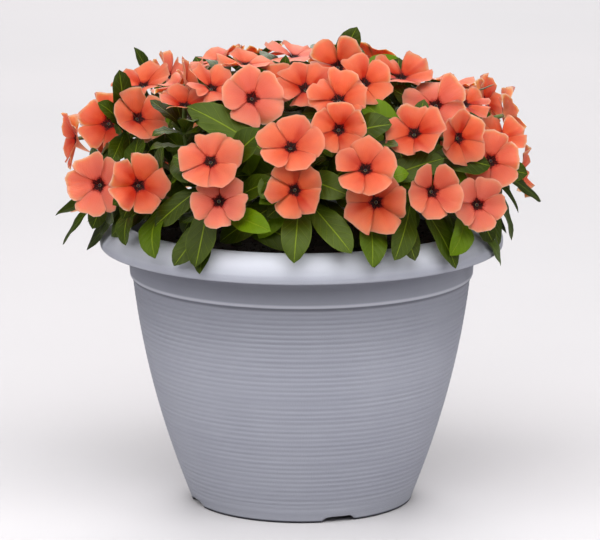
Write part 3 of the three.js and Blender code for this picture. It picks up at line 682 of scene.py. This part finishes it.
modelBloom = {  # how a bloom of the model is laid out, in metres
    "petals": 5, "throatReach": 0.0052, "throatDepth": 0.002, "reach": (0.012, 0.028), "height": 0.012,
    "slack": 1e-4, "turnSlack": 0.02,
    "rim": [(0.8, -0.47), (0.97, -0.25), (1.02, 0.2), (0.86, 0.46)],  # shares of the radius and of the turn
}
modelLeaf = {"ring": 6, "thickness": 0.0008, "slack": 6e-5, "waist": 0.46, "widest": 0.76}
petalTurn = 2 * math.pi / modelBloom["petals"]


def nodesFrom(start):  # the model's nodes whose names have this start
    return {name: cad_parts[name] for name in sorted(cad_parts) if name.startswith(start)}


def mergedCopy(node):
    bm = bmesh.new()
    bm.from_mesh(node.data)
    bmesh.ops.remove_doubles(bm, verts=bm.verts, dist=1e-6)
    return bm


def neighbours(vert):
    return [edge.other_vert(vert) for edge in vert.link_edges]


def inBloom(bloom, co):  # a point as the bloom has it: level, over, and above the throat
    apart = co - bloom["throat"]
    return apart.dot(bloom["level"]), apart.dot(bloom["over"]), apart.dot(bloom["axis"])


def readPetals(bloom, joints, verts):  # middles and rims of the petals, the radius and the mean height
    seen = []
    for vert in verts:
        x, y, height = inBloom(bloom, vert.co)
        reach = math.hypot(x, y)
        if modelBloom["reach"][0] < reach < modelBloom["reach"][1] and abs(height) < modelBloom["height"]:
            seen.append((reach, math.atan2(y, x), height))
    petals = []
    radii = []
    slack = modelBloom["turnSlack"]
    for joint in joints:
        x, y, _ = inBloom(bloom, joint)
        middle = math.atan2(y, x) + petalTurn / 2
        rim = []
        for share, turn in modelBloom["rim"]:
            near = [spot for spot in seen if abs(turnBetween(spot[1], middle + turn * petalTurn)) < slack]
            if near:
                reach, _, height = max(near, key=lambda spot: spot[2])
                radii.append(reach / share)
                rim.append((turn * 2, height))
        petals.append((middle, rim))
    heights = [height for _, rim in petals for _, height in rim]
    return petals, float(numpy.median(radii)), sum(heights) / len(heights)


def readBlooms(node):
    bm = mergedCopy(node)
    solid = BVHTree.FromBMesh(bm)
    slant = math.hypot(modelBloom["throatReach"], modelBloom["throatDepth"])
    blooms = []
    for vert in bm.verts:
        joints = [other.co for other in neighbours(vert)]
        uneven = [joint for joint in joints if abs((joint - vert.co).length - slant) > modelBloom["slack"]]
        if len(joints) != modelBloom["petals"] or uneven:
            continue
        throat = sum(joints, Vector()) / len(joints)
        axis = (throat - vert.co).normalized()
        level = Vector((0, 0, 1)).cross(axis).normalized()
        bloom = {"throat": throat, "axis": axis, "level": level, "over": axis.cross(level), "solid": solid}
        bloom["petals"], bloom["radius"], bloom["mean"] = readPetals(bloom, joints, bm.verts)
        blooms.append(bloom)
    bm.free()
    return blooms


def readBlade(tip, ring, pairs):  # one leaf of the model, from its tip, and the points that belong to it
    middles = [(a.co + b.co) / 2 for a, b in pairs]
    spread = [sum((m - other).length for other in middles) for m in middles]
    k = spread.index(min(spread))
    sides = [m for i, m in enumerate(middles) if i != k]
    across = (sides[0] - sides[1]).normalized()
    inner = []
    for vert in pairs[k]:
        beyond = [v for v in neighbours(vert) if v not in ring and v is not tip]
        inner += sorted(beyond, key=lambda v: abs((v.co - middles[k]).dot(across)))[:1]
    if len(inner) < 2:
        return None, set()
    waist = (inner[0].co + inner[1].co) / 2 - tip.co
    widest = middles[k] - tip.co
    back, ahead = 1 - modelLeaf["waist"], 1 - modelLeaf["widest"]
    archWaist, archWidest = 4 * modelLeaf["waist"] * back, 4 * modelLeaf["widest"] * ahead
    scale = back * archWidest - ahead * archWaist
    along = (widest * archWaist - waist * archWidest) / scale
    bow = (widest * back - waist * ahead) / scale
    near = {tip, *ring, *inner}
    for vert in inner:
        near |= {v for v in neighbours(vert) if (v.co - inner[0].co).dot(along) > -0.002 * along.length}
    return {
        "origin": tip.co - along, "along": along, "top": bow.normalized(), "bow": bow.length,
        "wide": (sides[0] - sides[1]).length / 2, "chance": chanceOf(round(tip.co.x, 5), round(tip.co.z, 5)),
    }, near


def readLeaves(bm):  # the blades on a merged copy of a plant, and all their points
    leaves = []
    blades = set()
    for tip in bm.verts:
        ring = neighbours(tip)
        if len(ring) != modelLeaf["ring"]:
            continue
        pairs = [(a, b) for i, a in enumerate(ring) for b in ring[i + 1:]
                 if abs((a.co - b.co).length - modelLeaf["thickness"]) < modelLeaf["slack"]]
        if len(pairs) == 3:
            blade, near = readBlade(tip, ring, pairs)
            if blade:
                leaves.append(blade)
                blades |= near
    return leaves, blades


# Petals

petal = {
    "shape": {
        "Across": 9, "Along": 7, "Thickness": 0.0005, "Mouth": 0.0013, "Throat": 0.0022, "Overlap": 0.1,
        "Ruffle": 0.0022, "Crease": 0.0014, "Roll": 0.0035, "Fold": 0.014, "Uneven": 0.07, "Keel": 0.0032,
        "Pitch": 0.002, "Flute": 0.0018, "Step": 0.0014,
    },
    "breadth": (0.92, 1.1), "notch": (0.025, 0.205),
    "gap": {  # how close a petal may come to others, in metres and in shares of the radius
        "keep": 0.0045, "reach": 0.008, "leaf": 0.006, "bloom": 0.0045, "near": 0.045,
        "tip": 0.96, "edge": 1.04, "facing": 0.6, "shares": (0.55, 0.75, 0.95),
        "turns": (-0.9, -0.45, 0.0, 0.45, 0.9),
    },
    "veins": {"Count": 5.0, "Slant": -1.1, "Rib": 0.03, "Fineness": 0.3},
    "look": {
        "fresh": colour(193, 83, 49), "deep": colour(148, 30, 8), "pink": colour(182, 88, 74),
        # back is partly the underside's own colour, partly painted light that passes through the petal
        "pale": colour(212, 128, 102), "back": colour(206, 118, 92), "flush": colour(126, 14, 9),
        # rim is a painted highlight for the petals' edges
        "eye": colour(13, 2, 5), "rim": colour(226, 158, 136), "flushReach": (0.28, 0.11),
        "eyeReach": (0.176, 0.092), "clouds": 60.0, "grain": 900.0,
        "shader": {
            "Roughness": 0.6, "Specular IOR Level": 0.14, "Specular Tint": (1.0, 0.6, 0.45, 1.0),
            "Subsurface Weight": 0.6, "Subsurface Radius": (1.0, 0.35, 0.18), "Subsurface Scale": 0.004,
        },
    },
}


def petalTree():
    tree, given, get = shapeTree("petals", petal["shape"])
    copies = sheetOnPoints(tree, given, get)
    across, along, skin = readFields(tree, ["spot"], "FLOAT_VECTOR")[0].parts()
    origin, axis, reach, rim = readFields(tree, ("origin", "axis", "reach", "rim"), "FLOAT_VECTOR")
    numbers = ("radius", "breadth", "chance", "notch", "tone", "room")
    radius, breadth, chance, notch, tone, room = readFields(tree, numbers)
    turn = across * -1.0
    away = across.size()
    luck = chance.again(43.0)
    other = chance.again(71.0)

    # how far out a point lies: a blunt or pointed petal with a wavy rim
    apex = (turn + luck * 1.3 - 0.75) * 3.4
    peak = (apex * apex * -1.0).use("EXPONENT") * (luck * 0.11)
    margin = (away ** 9.0) * notch * -1.0 + 0.945 + turn * (other * 0.08 - 0.02)
    margin = margin + peak + other * get["Uneven"]
    wavy = (across * 4.2 + chance * 20.0).sine() * 0.04 + (across * 9.5 + chance * 37.0).sine() * 0.014
    share = (get["Mouth"] / radius) + (margin + wavy - get["Mouth"] / radius) * along

    # its bearing from the petal's middle
    broad = breadth + (luck - 0.5) * 0.14
    half = (along * math.pi).sine() * get["Overlap"] + 1.0 - broad.flip() * along * along
    angle = across * (half * (petalTurn / 2)) + (chance.again(29.0) - 0.5) * along * 0.1

    # its height: the model's rim, and ruffles, creases, rolls, folds and flutes where there is room
    level, tilt, curl = rim.parts()
    rimHeight = level + tilt * turn + curl * turn * turn
    ruffle = (across * 5.0 + chance * 25.0).sine() * 0.6 + (across * 9.0 + chance * 60.0).sine() * 0.4
    crease = (away ** 0.7) * get["Crease"] * (chance * 3.0 - 1.2)
    keel = (turn - (other - 0.5) * 0.7).size() * (luck * 2.0 - 0.8) * get["Keel"]
    free = ruffle * get["Ruffle"] * along * along * along + (crease + keel) * along
    free = free + (away ** 3.0) * turn * get["Step"] * along  # one side lies over the next petal
    roll = chance.again(17.0) * 2.0 - 1.0  # some petals roll back at the sides, some forward
    free = free + (across * across - 0.3) * along * along * roll * get["Roll"]
    free = free + (other - 0.5) * along * get["Pitch"]
    sided = (turn * (luck - 0.5).use("SIGN") - 0.25).use("MAXIMUM", 0.0)
    folded = chance.again(53.0).ramp(0.5, 0.95) * sided
    free = free - folded * folded * along * get["Fold"]
    fluted = tone.again(7.0).ramp(0.62, 0.82)  # a few blooms are fluted from the eye outwards
    free = free + (across * 4.4 + chance * 25.0).sine() * fluted * get["Flute"] * along * along
    height = rimHeight * (share ** 1.5) + free * room - (along.flip() ** 5.0) * get["Throat"]
    height = height + skin * get["Thickness"] * (away.flip().use("MINIMUM", 0.2) * 5.0)

    out = share * radius
    ahead = reach.scaled(out * angle.use("COSINE"))
    aside = reach.cross(axis).scaled(out * angle.sine())
    return endTree(tree, given, movedTo(tree, copies, origin + ahead + aside + axis.scaled(height)))


def petalMaterial():
    look = petal["look"]
    material, tree, shader, clouds, grain = newMaterial("petal", look)
    across, along = spotIn(tree)
    under, chance, tone = masksIn(tree, "under", "chance", "tone")
    away = across.size()
    side = veins(tree, across, along, petal["veins"])[1]
    luck = chance.again(43.0)
    # painted shade: on some petals one half is darker, as if turned from the light at a fold
    paintedFoldShade = (across * (luck - 0.5).use("SIGN")).ramp(-0.1, 0.5) * luck * 0.6
    depth = clouds * 0.35 + chance * 0.3 + tone.ramp(0.35, 0.0) * 0.3 + along.ramp(0.6, 0.1) * 0.2 + paintedFoldShade
    # paler towards the tip, which is the petal's own colour, and paler still at the very edges, a painted
    # highlight where the edges catch the light
    edge = along.ramp(0.3, 1.0) * 0.36 + along.ramp(0.86, 1.0) * 0.14 + away.ramp(0.85, 1.0) * along * 0.1
    margin = along.ramp(0.93, 1.0).use("MAXIMUM", away.ramp(0.93, 1.0) * along.ramp(0.5, 0.85))
    jointLineAndShade = away.ramp(0.84, 0.98) * along.ramp(0.85, 0.25) * 0.85  # dark red towards the next petal: partly the flower's own joint lines, partly painted shade where petals overlap
    star = along - (away ** 3.0) * 0.12 + (grain - 0.5) * 0.05 - (chance - 0.5) * 0.03
    base = layered(tree, blend(tree, depth.clamp(), look["fresh"], look["deep"]), look, [
        (tone.ramp(0.5, 0.95) * 0.85, "pink"),
        (edge, "pale"),
        # painted highlight: a thin pale rim along the petal's edges
        (margin * 0.08, "rim"),
        (side * along.ramp(0.9, 0.2) * 0.18, "flush"),
        (jointLineAndShade, "flush"),
        (star.ramp(*look["flushReach"]) * 0.85, "flush"),
        (star.ramp(*look["eyeReach"]), "eye"),
    ])
    # the backs are paler: partly the petal's own underside, partly painted light, as if shining through the
    # petal
    backs = blend(tree, clouds * 0.4 + along.ramp(0.5, 0.0) * 0.3, look["back"], look["pale"])
    both = layered(tree, blend(tree, under, base, backs), look, [(jointLineAndShade * 0.5, "flush")])
    finish(tree, shader, both, side * -0.2 + clouds * 0.6 + grain * 0.2, 0.0003, 0.6)
    return material


# Throats, tubes and calyces

throat = {
    "shape": {
        "Ring": 0.0011, "Depth": 0.0017, "Tube": 0.0225, "Wide": 0.0016, "Narrow": 0.0011,
        "TubeDrop": 0.0026, "Sepal": 0.0065, "SepalWide": 0.0013, "SepalBow": 0.0022,
        "SepalDrop": 0.0024, "SepalThick": 0.0004,
    },
    "look": {
        "eye": colour(15, 3, 7), "centre": colour(34, 22, 27), "tube": colour(172, 122, 98),
        "calyx": colour(78, 98, 44), "calyxPale": colour(98, 116, 58), "clouds": 300.0, "grain": 2000.0,
        "shader": {"Roughness": 0.5, "Specular IOR Level": 0.3},
    },
}


def throatTree():  # a small knob in the eye, the tube behind it, and five sepals round the tube's foot
    tree, given, get = shapeTree("throats", throat["shape"])
    ball = {"Segments": 10, "Rings": 5, "Radius": get["Ring"]}
    knob = addNode(tree, "GeometryNodeMeshUVSphere", ball).outputs[0]
    x, y, z = position(tree).parts()
    knob = movedTo(tree, knob, joined(tree, x, y, z * 0.4 - get["Depth"]))
    knob = storeField(tree, knob, "zone", (x * x + y * y).use("SQRT") / get["Ring"])

    cone = {"Radius Top": get["Wide"], "Radius Bottom": get["Narrow"], "Depth": get["Tube"]}
    cone = {"Vertices": 8, "Side Segments": 6, **cone}
    tube = addNode(tree, "GeometryNodeMeshCone", cone).outputs["Mesh"]
    x, y, z = position(tree).parts()
    down = z / get["Tube"]
    swell = ((down - 0.72) * 9.0) ** 2.0  # the tube swells a little just under the petals
    wider = (swell * -1.0).use("EXPONENT") * 0.35 + 1.0
    tube = movedTo(tree, tube, joined(tree, x * wider, y * wider, z - get["Tube"] - get["TubeDrop"]))
    tube = storeField(tree, tube, "zone", down.flip() + 1.0)

    sepal = sheetNodes(tree, 4, 5)
    x, y, skin = readFields(tree, ["spot"], "FLOAT_VECTOR")[0].parts()
    outward = y * y * get["SepalBow"] + skin * get["SepalThick"] * (x * x).flip()
    upward = y * get["Sepal"] - get["Tube"] - get["SepalDrop"]
    sepal = movedTo(tree, sepal, joined(tree, outward, x * (y.flip() ** 0.8 * get["SepalWide"]), upward))
    ring = addNode(tree, "GeometryNodeMeshCircle", {"Vertices": 5, "Radius": 0.001}).outputs[0]
    sepals = onPoints(tree, ring, sepal, Rotation=turnedTo(tree, position(tree), "X"))
    sepals = storeField(tree, through(tree, "GeometryNodeRealizeInstances", sepals), "zone", 3.0)

    axis = readFields(tree, ["axis"], "FLOAT_VECTOR")[0]
    parts = together(tree, knob, tube, sepals)
    placed = onPoints(tree, given.outputs["Geometry"], parts, Rotation=turnedTo(tree, axis, "Z"))
    return endTree(tree, given, placed)


def throatMaterial():
    look = throat["look"]
    material, tree, shader, clouds, grain = newMaterial("throat", look)
    zone = masksIn(tree, "zone")[0]  # 0 to 1 over the knob, to 2 down the tube, 3 on the sepals
    base = blend(tree, zone.ramp(0.35, 0.75), look["centre"], look["eye"])
    base = blend(tree, zone.ramp(0.99, 1.01), base, look["tube"])
    green = blend(tree, clouds, look["calyx"], look["calyxPale"])
    finish(tree, shader, blend(tree, zone.ramp(1.8, 2.3), base, green), grain, 0.0001)
    return material


# Setting the blooms

bloomQuarters = ("front_left", "front_right", "back_left", "back_right")


def quarterOf(bloom):
    spot = bloom["throat"]
    return ("front" if spot.y < 0 else "back") + ("_left" if spot.x < 0 else "_right")


def liftedLevel(bloom, reach, level, others):  # a rim's height, moved off the face of a bloom it would cut
    gap = petal["gap"]
    for other in others:
        tip = bloom["throat"] + reach * bloom["radius"] * gap["tip"] + bloom["axis"] * level
        apart = tip - other["throat"]
        height = apart.dot(other["axis"])
        if (apart - other["axis"] * height).length > other["radius"] * gap["edge"]:
            continue
        over = (bloom["throat"] - other["throat"]).dot(other["axis"])
        wanted = gap["keep"] * (1 if over > 0 else -1) + other["mean"]
        lean = bloom["axis"].dot(other["axis"])
        cuts = abs(height - other["mean"]) < gap["reach"] and (height - wanted) * over < 0
        if lean > gap["facing"] and cuts:
            level += (wanted - height) / lean
    return level


def roomAround(bloom, middle, rim, solids, gap):  # 0 where a solid touches the petal, 1 where none is near
    curl, tilt, level = rim
    nearest = gap
    for share in petal["gap"]["shares"]:
        for turn in petal["gap"]["turns"]:
            angle = middle + turn * petalTurn / 2
            way = bloom["level"] * math.cos(angle) + bloom["over"] * math.sin(angle)
            height = (level + tilt * turn + curl * turn * turn) * share ** 1.5
            spot = bloom["throat"] + way * bloom["radius"] * share + bloom["axis"] * height
            for solid in solids:
                found = solid.find_nearest(spot, nearest)
                if found[0]:
                    nearest = found[3]
    return nearest / gap


def petalRows(name, order, bloom, every, plants):  # the values of a bloom's petals
    gap = petal["gap"]
    luck = chanceOf(name, order)
    breadth = between(petal["breadth"], chanceOf(name, order, "breadth"))
    others = [other for other in every if 0 < (other["throat"] - bloom["throat"]).length < gap["near"]]
    solids = [other["solid"] for other in others if other["solid"] is not bloom["solid"]]
    full = len(modelBloom["rim"])
    sound = [rim for _, rim in bloom["petals"] if len(rim) == full]
    mean = [(sound[0][i][0], sum(rim[i][1] for rim in sound) / len(sound)) for i in range(full)]
    rows = []
    for k, (middle, rim) in enumerate(bloom["petals"]):
        turns, heights = zip(*(rim if len(rim) == full else mean))
        fitted = numpy.polyfit(turns, heights, 2)
        curl, tilt, level = fitted
        reach = bloom["level"] * math.cos(middle) + bloom["over"] * math.sin(middle)
        rows.append({
            "origin": bloom["throat"], "axis": bloom["axis"], "reach": reach,
            "rim": (liftedLevel(bloom, reach, level, others), tilt, curl),
            "radius": bloom["radius"], "breadth": breadth, "chance": chanceOf(name, order, k),
            "notch": between(petal["notch"], luck * luck), "tone": luck,
            "room": min(roomAround(bloom, middle, fitted, plants, gap["leaf"]),
                        roomAround(bloom, middle, fitted, solids, gap["bloom"])),
        })
    return rows


def buildBlooms(bloomsOf, plants):
    petals, petalPaint = petalTree(), petalMaterial()
    throats, throatPaint = throatTree(), throatMaterial()
    every = [bloom for blooms in bloomsOf.values() for bloom in blooms]
    for quarter in bloomQuarters:
        members = {name: blooms for name, blooms in bloomsOf.items() if quarterOf(blooms[0]) == quarter}
        rows = []
        eyes = []
        for name, blooms in members.items():
            for order, bloom in enumerate(blooms):
                rows += petalRows(name, order, bloom, every, plants)
                eyes.append({"origin": bloom["throat"], "axis": bloom["axis"]})
        piece = grow(pointObject("petals_" + quarter, rows), petals, petal["shape"], petalPaint)
        dress(piece, "petals", *members)
        piece = grow(pointObject("throats_" + quarter, eyes), throats, throat["shape"], throatPaint)
        dress(piece, "petals")


# Leaves and stems

leaf = {
    "shape": {
        "Across": 5, "Along": 12, "Thickness": 0.0006, "Petiole": 0.11, "Stalk": 0.0009,
        "Fold": 0.22, "Wave": 0.0009, "Wider": 0.84,
    },
    "veins": {"Count": 8.0, "Slant": 0.26, "Rib": 0.042, "Fineness": 0.13},
    "look": {
        "young": colour(88, 116, 0), "green": colour(46, 61, 1), "deep": colour(21, 30, 1),
        "vein": colour(98, 114, 16), "under": colour(64, 80, 16), "roughness": 0.4,
        "clouds": 45.0, "grain": 1200.0,
        "shader": {"Specular IOR Level": 0.26, "Specular Tint": (0.85, 1.0, 0.4, 1.0)},
    },
}


def leafTree():
    tree, given, get = shapeTree("leaves", leaf["shape"])
    copies = sheetOnPoints(tree, given, get)
    across, row, skin = readFields(tree, ["spot"], "FLOAT_VECTOR")[0].parts()
    v = row * (row * -0.55 + 1.55)  # rows lie closer together towards the tip
    origin, along, top = readFields(tree, ("origin", "along", "top"), "FLOAT_VECTOR")
    wide, bow, chance = readFields(tree, ("wide", "bow", "chance"))
    away = across.size()
    side = along.cross(top).use("NORMALIZE")
    halfway = (v * math.pi).sine()  # 1 halfway along the leaf
    blade = ((v - get["Petiole"]) / get["Petiole"].flip()).clamp()
    swell = ((blade ** 1.45) * math.pi).sine().use("MAXIMUM", 0.0) ** 0.62
    half = get["Stalk"] * v.ramp(1.0, 0.8) + swell * wide * (get["Wider"] + chance.again(9.0) * 0.2)
    fold = (away * 1.5 - away * away * 0.7) * half * (get["Fold"] + (chance - 0.5) * 0.25)
    arch = v * v.flip() * 4.0 * bow
    droop = (halfway * (v - 0.5)) * (chance * 0.012 - 0.006)
    wave = (v * 17.0 + chance * 40.0 + across * 1.5).sine() * get["Wave"] * away * away * swell
    thin = away.flip().use("MINIMUM", 0.3) / 0.3  # the blade thins out to its sides
    thick = skin * get["Thickness"] * thin + skin * v.ramp(0.2, 0.08) * 0.0012
    height = fold + arch + droop + wave + thick
    bend = halfway * (chance * 0.4 - 0.2) * wide  # a sideways sweep
    place = origin + along.scaled(v) + side.scaled(across * half + bend) + top.scaled(height)
    return endTree(tree, given, movedTo(tree, copies, place))


def leafMaterial():
    look = leaf["look"]
    material, tree, shader, clouds, grain = newMaterial("leaf", look)
    across, along = spotIn(tree)
    under, chance = masksIn(tree, "under", "chance")
    rib, side, height = veins(tree, across, along, leaf["veins"])
    base = blend(tree, (chance * 0.75 + clouds * 0.35).clamp(), look["deep"], look["green"])
    base = layered(tree, base, look, [
        (chance.ramp(0.8, 1.0) * 0.8, "young"),
        (side * 0.2, "vein"),
        (rib * 0.8, "vein"),
        (across.size().ramp(0.93, 1.0) * 0.25, "vein"),
    ])
    back = blend(tree, (rib + side * 0.5 + clouds * 0.3).clamp(), look["under"], look["vein"])
    relief = height * 0.6 + grain * 0.15 + clouds * 1.2
    roughness = grain * 0.08 + under * 0.25 + look["roughness"]
    finish(tree, shader, blend(tree, under, base, back), relief, 0.0004, 0.6, roughness)
    return material


# Small leaves that the model has none of. Each is kept at the first try that has room. tip gives the
# lowest and highest place of its tip, climb its least slope, and blooms the lines along it, by their
# share of its half width, that stay clear of the blooms

axilLeaf = {  # in the axils of the leaves
    "each": 2, "tries": 5, "length": (0.34, 0.62), "slender": 0.42, "lift": 0.55, "shorter": 0.15,
    "tip": (0.222, 1.0), "climb": -2.0, "blooms": (0,),
}
collarLeaf = {  # on the shoots behind the blooms
    "each": 3, "tries": 6, "length": (0.021, 0.036), "slender": 0.44, "rise": (-0.25, 0.25), "bow": 0.003,
    "tone": 1.0, "draw": (), "tip": (0.0, 1.0), "climb": -2.0, "blooms": (0,),
}
crownLeaf = {  # taller, between the highest blooms
    "each": 3, "tries": 40, "length": (0.034, 0.05), "slender": 0.36, "rise": (0.595, 1.02), "bow": 0.004,
    "tone": 0.7, "draw": ("crown",), "tip": (0.0, 0.3665), "climb": 0.3, "blooms": (-0.6, 0, 0.6),
    "lowestBloom": 0.3,
}
smallBlade = {**leaf["shape"], "Along": 8}
shootReach = 0.0245  # from a bloom's throat back to the leaves on its shoot
leafRoom = {  # the space kept about a bloom, and where a leaf is tried for stems and other leaves
    "below": 0.006, "above": 0.014, "round": 0.006, "shares": (0.25, 0.5, 0.75, 1.0),
    "start": 0.3, "end": 1.02, "edges": (-0.7, 0.0, 0.7), "taper": 0.4,
}


def clearOfBlooms(origin, along, blooms):
    room = leafRoom
    for share in room["shares"]:
        spot = origin + along * share
        for bloom in blooms:
            apart = spot - bloom["throat"]
            height = apart.dot(bloom["axis"])
            away = (apart - bloom["axis"] * height).length
            if -room["below"] < height < room["above"] and away < bloom["radius"] + room["round"]:
                return False
    return True


def clearOfPlants(origin, along, edge, plants):  # neither the midline nor a margin passes through one
    room = leafRoom
    for shift in room["edges"]:
        start = origin + along * room["start"] + edge * shift
        way = origin + along * room["end"] + edge * shift * room["taper"] - start
        if any(plant.ray_cast(start, way.normalized(), way.length)[0] for plant in plants):
            return False
    return True


def fits(row, kind, blooms, plants):
    origin, along = row["origin"], row["along"]
    edge = along.cross(row["top"]).normalized() * row["wide"]
    low, high = kind["tip"]
    if not low <= (origin + along).z < high or along.normalized().z <= kind["climb"]:
        return False
    if not all(clearOfBlooms(origin + edge * shift, along, blooms) for shift in kind["blooms"]):
        return False
    return clearOfPlants(origin, along, edge, plants)


def smallLeaf(origin, along, top, bow, kind, chance):
    way = along.normalized()
    return {
        "origin": origin, "along": along, "top": (top - way * top.dot(way)).normalized(), "bow": bow,
        "wide": along.length * kind["slender"] * 0.5, "chance": chance,
    }


def leafInAxil(kind, parent, k, attempt):  # crosswise to the leaf that is there, on one side or the other
    size, lift, turn = (chanceOf(parent["chance"], k, attempt, word) for word in ("size", "lift", "way"))
    along, top = parent["along"], parent["top"]
    side = along.cross(top).normalized() * (1 if k % 2 else -1)
    way = side + along.normalized() * (turn - 0.4) * 1.4 + top * kind["lift"] * (0.5 + lift)
    share = between(kind["length"], size * (1 - attempt * kind["shorter"]))
    reach = way.normalized() * along.length * share
    return smallLeaf(parent["origin"], reach, top, parent["bow"] * share * 0.6, kind, size)


def leafOnShoot(kind, bloom, k, attempt):
    place = tuple(round(c, 4) for c in bloom["throat"])
    words = ("turn", "size", "rise", "tone")
    turn, size, rise, tone = (chanceOf(place, k, attempt, *kind["draw"], word) for word in words)
    angle = 2 * math.pi * (k + turn) / kind["each"]
    out = bloom["level"] * math.cos(angle) + bloom["over"] * math.sin(angle)
    way = (out + bloom["axis"] * between(kind["rise"], rise)).normalized()
    origin = bloom["throat"] - bloom["axis"] * shootReach
    along = way * between(kind["length"], size)
    return smallLeaf(origin, along, bloom["axis"], kind["bow"], kind, tone * kind["tone"])


def smallLeaves(parents, makeLeaf, kind, blooms, plants):
    rows = []
    for parent in parents:
        for k in range(kind["each"]):
            tried = (makeLeaf(kind, parent, k, attempt) for attempt in range(kind["tries"]))
            row = next((row for row in tried if fits(row, kind, blooms, plants)), None)
            if row:
                rows.append(row)
    return rows


stem = {
    "fatten": 0.0005, "levels": 2,
    "look": {
        "green": colour(74, 94, 40), "red": colour(98, 62, 44), "clouds": 30.0, "grain": 900.0,
        "shader": {"Roughness": 0.45},
    },
}


def stemMaterial():
    look = stem["look"]
    material, tree, shader, clouds, grain = newMaterial("stem", look)
    finish(tree, shader, blend(tree, clouds * 0.7, look["green"], look["red"]), grain, 0.0002)
    return material


def buildStems(bm, blades, name, node, paint):  # what is left of a plant without its blades, made round
    bmesh.ops.delete(bm, geom=[f for f in bm.faces if any(v in blades for v in f.verts)], context="FACES")
    bmesh.ops.delete(bm, geom=[v for v in bm.verts if not v.link_faces], context="VERTS")
    bmesh.ops.holes_fill(bm, edges=[e for e in bm.edges if e.is_boundary], sides=4)
    bmesh.ops.join_triangles(bm, faces=bm.faces, angle_face_threshold=0.6, angle_shape_threshold=1.2)
    bm.normal_update()
    for vert, push in [(v, v.normal.copy()) for v in bm.verts]:
        vert.co += push * stem["fatten"]
    stems = linked(name, meshOf(name, bm))
    stems.data.materials.append(paint)
    smooth = stems.modifiers.new("round", "SUBSURF")
    smooth.levels = smooth.render_levels = stem["levels"]
    settle(stems)
    stems.data.shade_smooth()
    dress(stems, "foliage", node)


def buildLeaves(blooms):
    tree, paint, bark = leafTree(), leafMaterial(), stemMaterial()
    copies = {name: mergedCopy(node) for name, node in nodesFrom("plant_").items()}
    plants = [BVHTree.FromBMesh(bm) for bm in copies.values()]
    for name, bm in copies.items():
        number = name.split("_")[1]
        leaves, blades = readLeaves(bm)
        buildStems(bm, blades, "stems_" + number, name, bark)
        dress(grow(pointObject("leaves_" + number, leaves), tree, leaf["shape"], paint), "foliage", name)
        young = smallLeaves(leaves, leafInAxil, axilLeaf, blooms, plants)
        dress(grow(pointObject("young_leaves_" + number, young), tree, smallBlade, paint), "foliage")
        print(name, len(leaves), "leaves", len(young), "young leaves")
    high = [bloom for bloom in blooms if bloom["throat"].z >= crownLeaf["lowestBloom"]]
    collar = smallLeaves(blooms, leafOnShoot, collarLeaf, blooms, plants)
    collar += smallLeaves(high, leafOnShoot, crownLeaf, blooms, plants)
    dress(grow(pointObject("collar_leaves", collar), tree, smallBlade, paint), "foliage")
    print(len(collar), "leaves behind the blooms")
    return plants


# Studio

studio = {
    "floorWide": 14.0, "floorFront": -6.0, "floorBack": 16.0,
    "look": {
        "paper": colour(186, 183, 185), "deep": colour(182, 180, 182), "clouds": 1.2, "grain": 300.0,
        "shader": {"Roughness": 0.9, "Specular IOR Level": 0.1},
    },
    "lens": 269.0, "sensor": 36.0, "distance": 3.4, "elevation": 12.0, "target": (-0.00114, 0.0, 0.176),
    "sky": 0.14, "lampTarget": (0.0, 0.0, 0.2),
    "lamps": [  # name, place, width, power
        ("key", (-0.15, -1.6, 2.5), 3.2, 167.0),
        ("left", (-2.2, -0.8, 1.5), 1.4, 20.0),
        ("right", (2.3, -1.0, 1.4), 1.4, 26.0),
        ("back", (0.0, 3.3, 2.8), 2.6, 150.0),
    ],
}


def aimed(name, data, place, way):  # a lamp or camera that looks along a way
    holder = bpy.data.objects.new(name, data)
    holder.location = place
    holder.rotation_euler = way.to_track_quat("-Z", "Y").to_euler()
    bpy.context.scene.collection.objects.link(holder)
    return holder


def buildFloor():
    half, front, back = studio["floorWide"] / 2, studio["floorFront"], studio["floorBack"]
    mesh = bpy.data.meshes.new("floor")
    corners = [(-half, front, 0), (half, front, 0), (half, back, 0), (-half, back, 0)]
    mesh.from_pydata(corners, [], [(0, 1, 2, 3)])
    look = studio["look"]
    material, tree, shader, clouds, _ = newMaterial("paper", look)
    feed(tree, shader.inputs["Base Color"], blend(tree, clouds, look["paper"], look["deep"]))
    mesh.materials.append(material)
    linked("floor", mesh)


def buildStudio():
    buildFloor()
    scene = bpy.context.scene
    scene.world = bpy.data.worlds.new("studio")
    scene.world.use_nodes = True
    sky = scene.world.node_tree.nodes["Background"]
    sky.inputs[0].default_value = (1.0, 1.0, 1.0, 1.0)
    sky.inputs[1].default_value = studio["sky"]
    for name, place, size, power in studio["lamps"]:
        light = bpy.data.lights.new(name, "AREA")
        light.size = size
        light.energy = power
        aimed(name, light, place, Vector(studio["lampTarget"]) - Vector(place))
    camera = bpy.data.cameras.new("camera")
    camera.lens = studio["lens"]
    camera.sensor_width = studio["sensor"]
    camera.clip_end = 50.0
    rise = math.radians(studio["elevation"])
    way = Vector((0, math.cos(rise), -math.sin(rise)))
    scene.camera = aimed("camera", camera, Vector(studio["target"]) - way * studio["distance"], way)
    scene.view_settings.view_transform = "Standard"


buildStudio()
print("studio ready")
buildPlanter()
buildMix()
bloomsOf = {name: readBlooms(node) for name, node in nodesFrom("bloom_").items()}
plantSolids = buildLeaves([bloom for blooms in bloomsOf.values() for bloom in blooms])
buildBlooms(bloomsOf, plantSolids)
print("pieces ready")
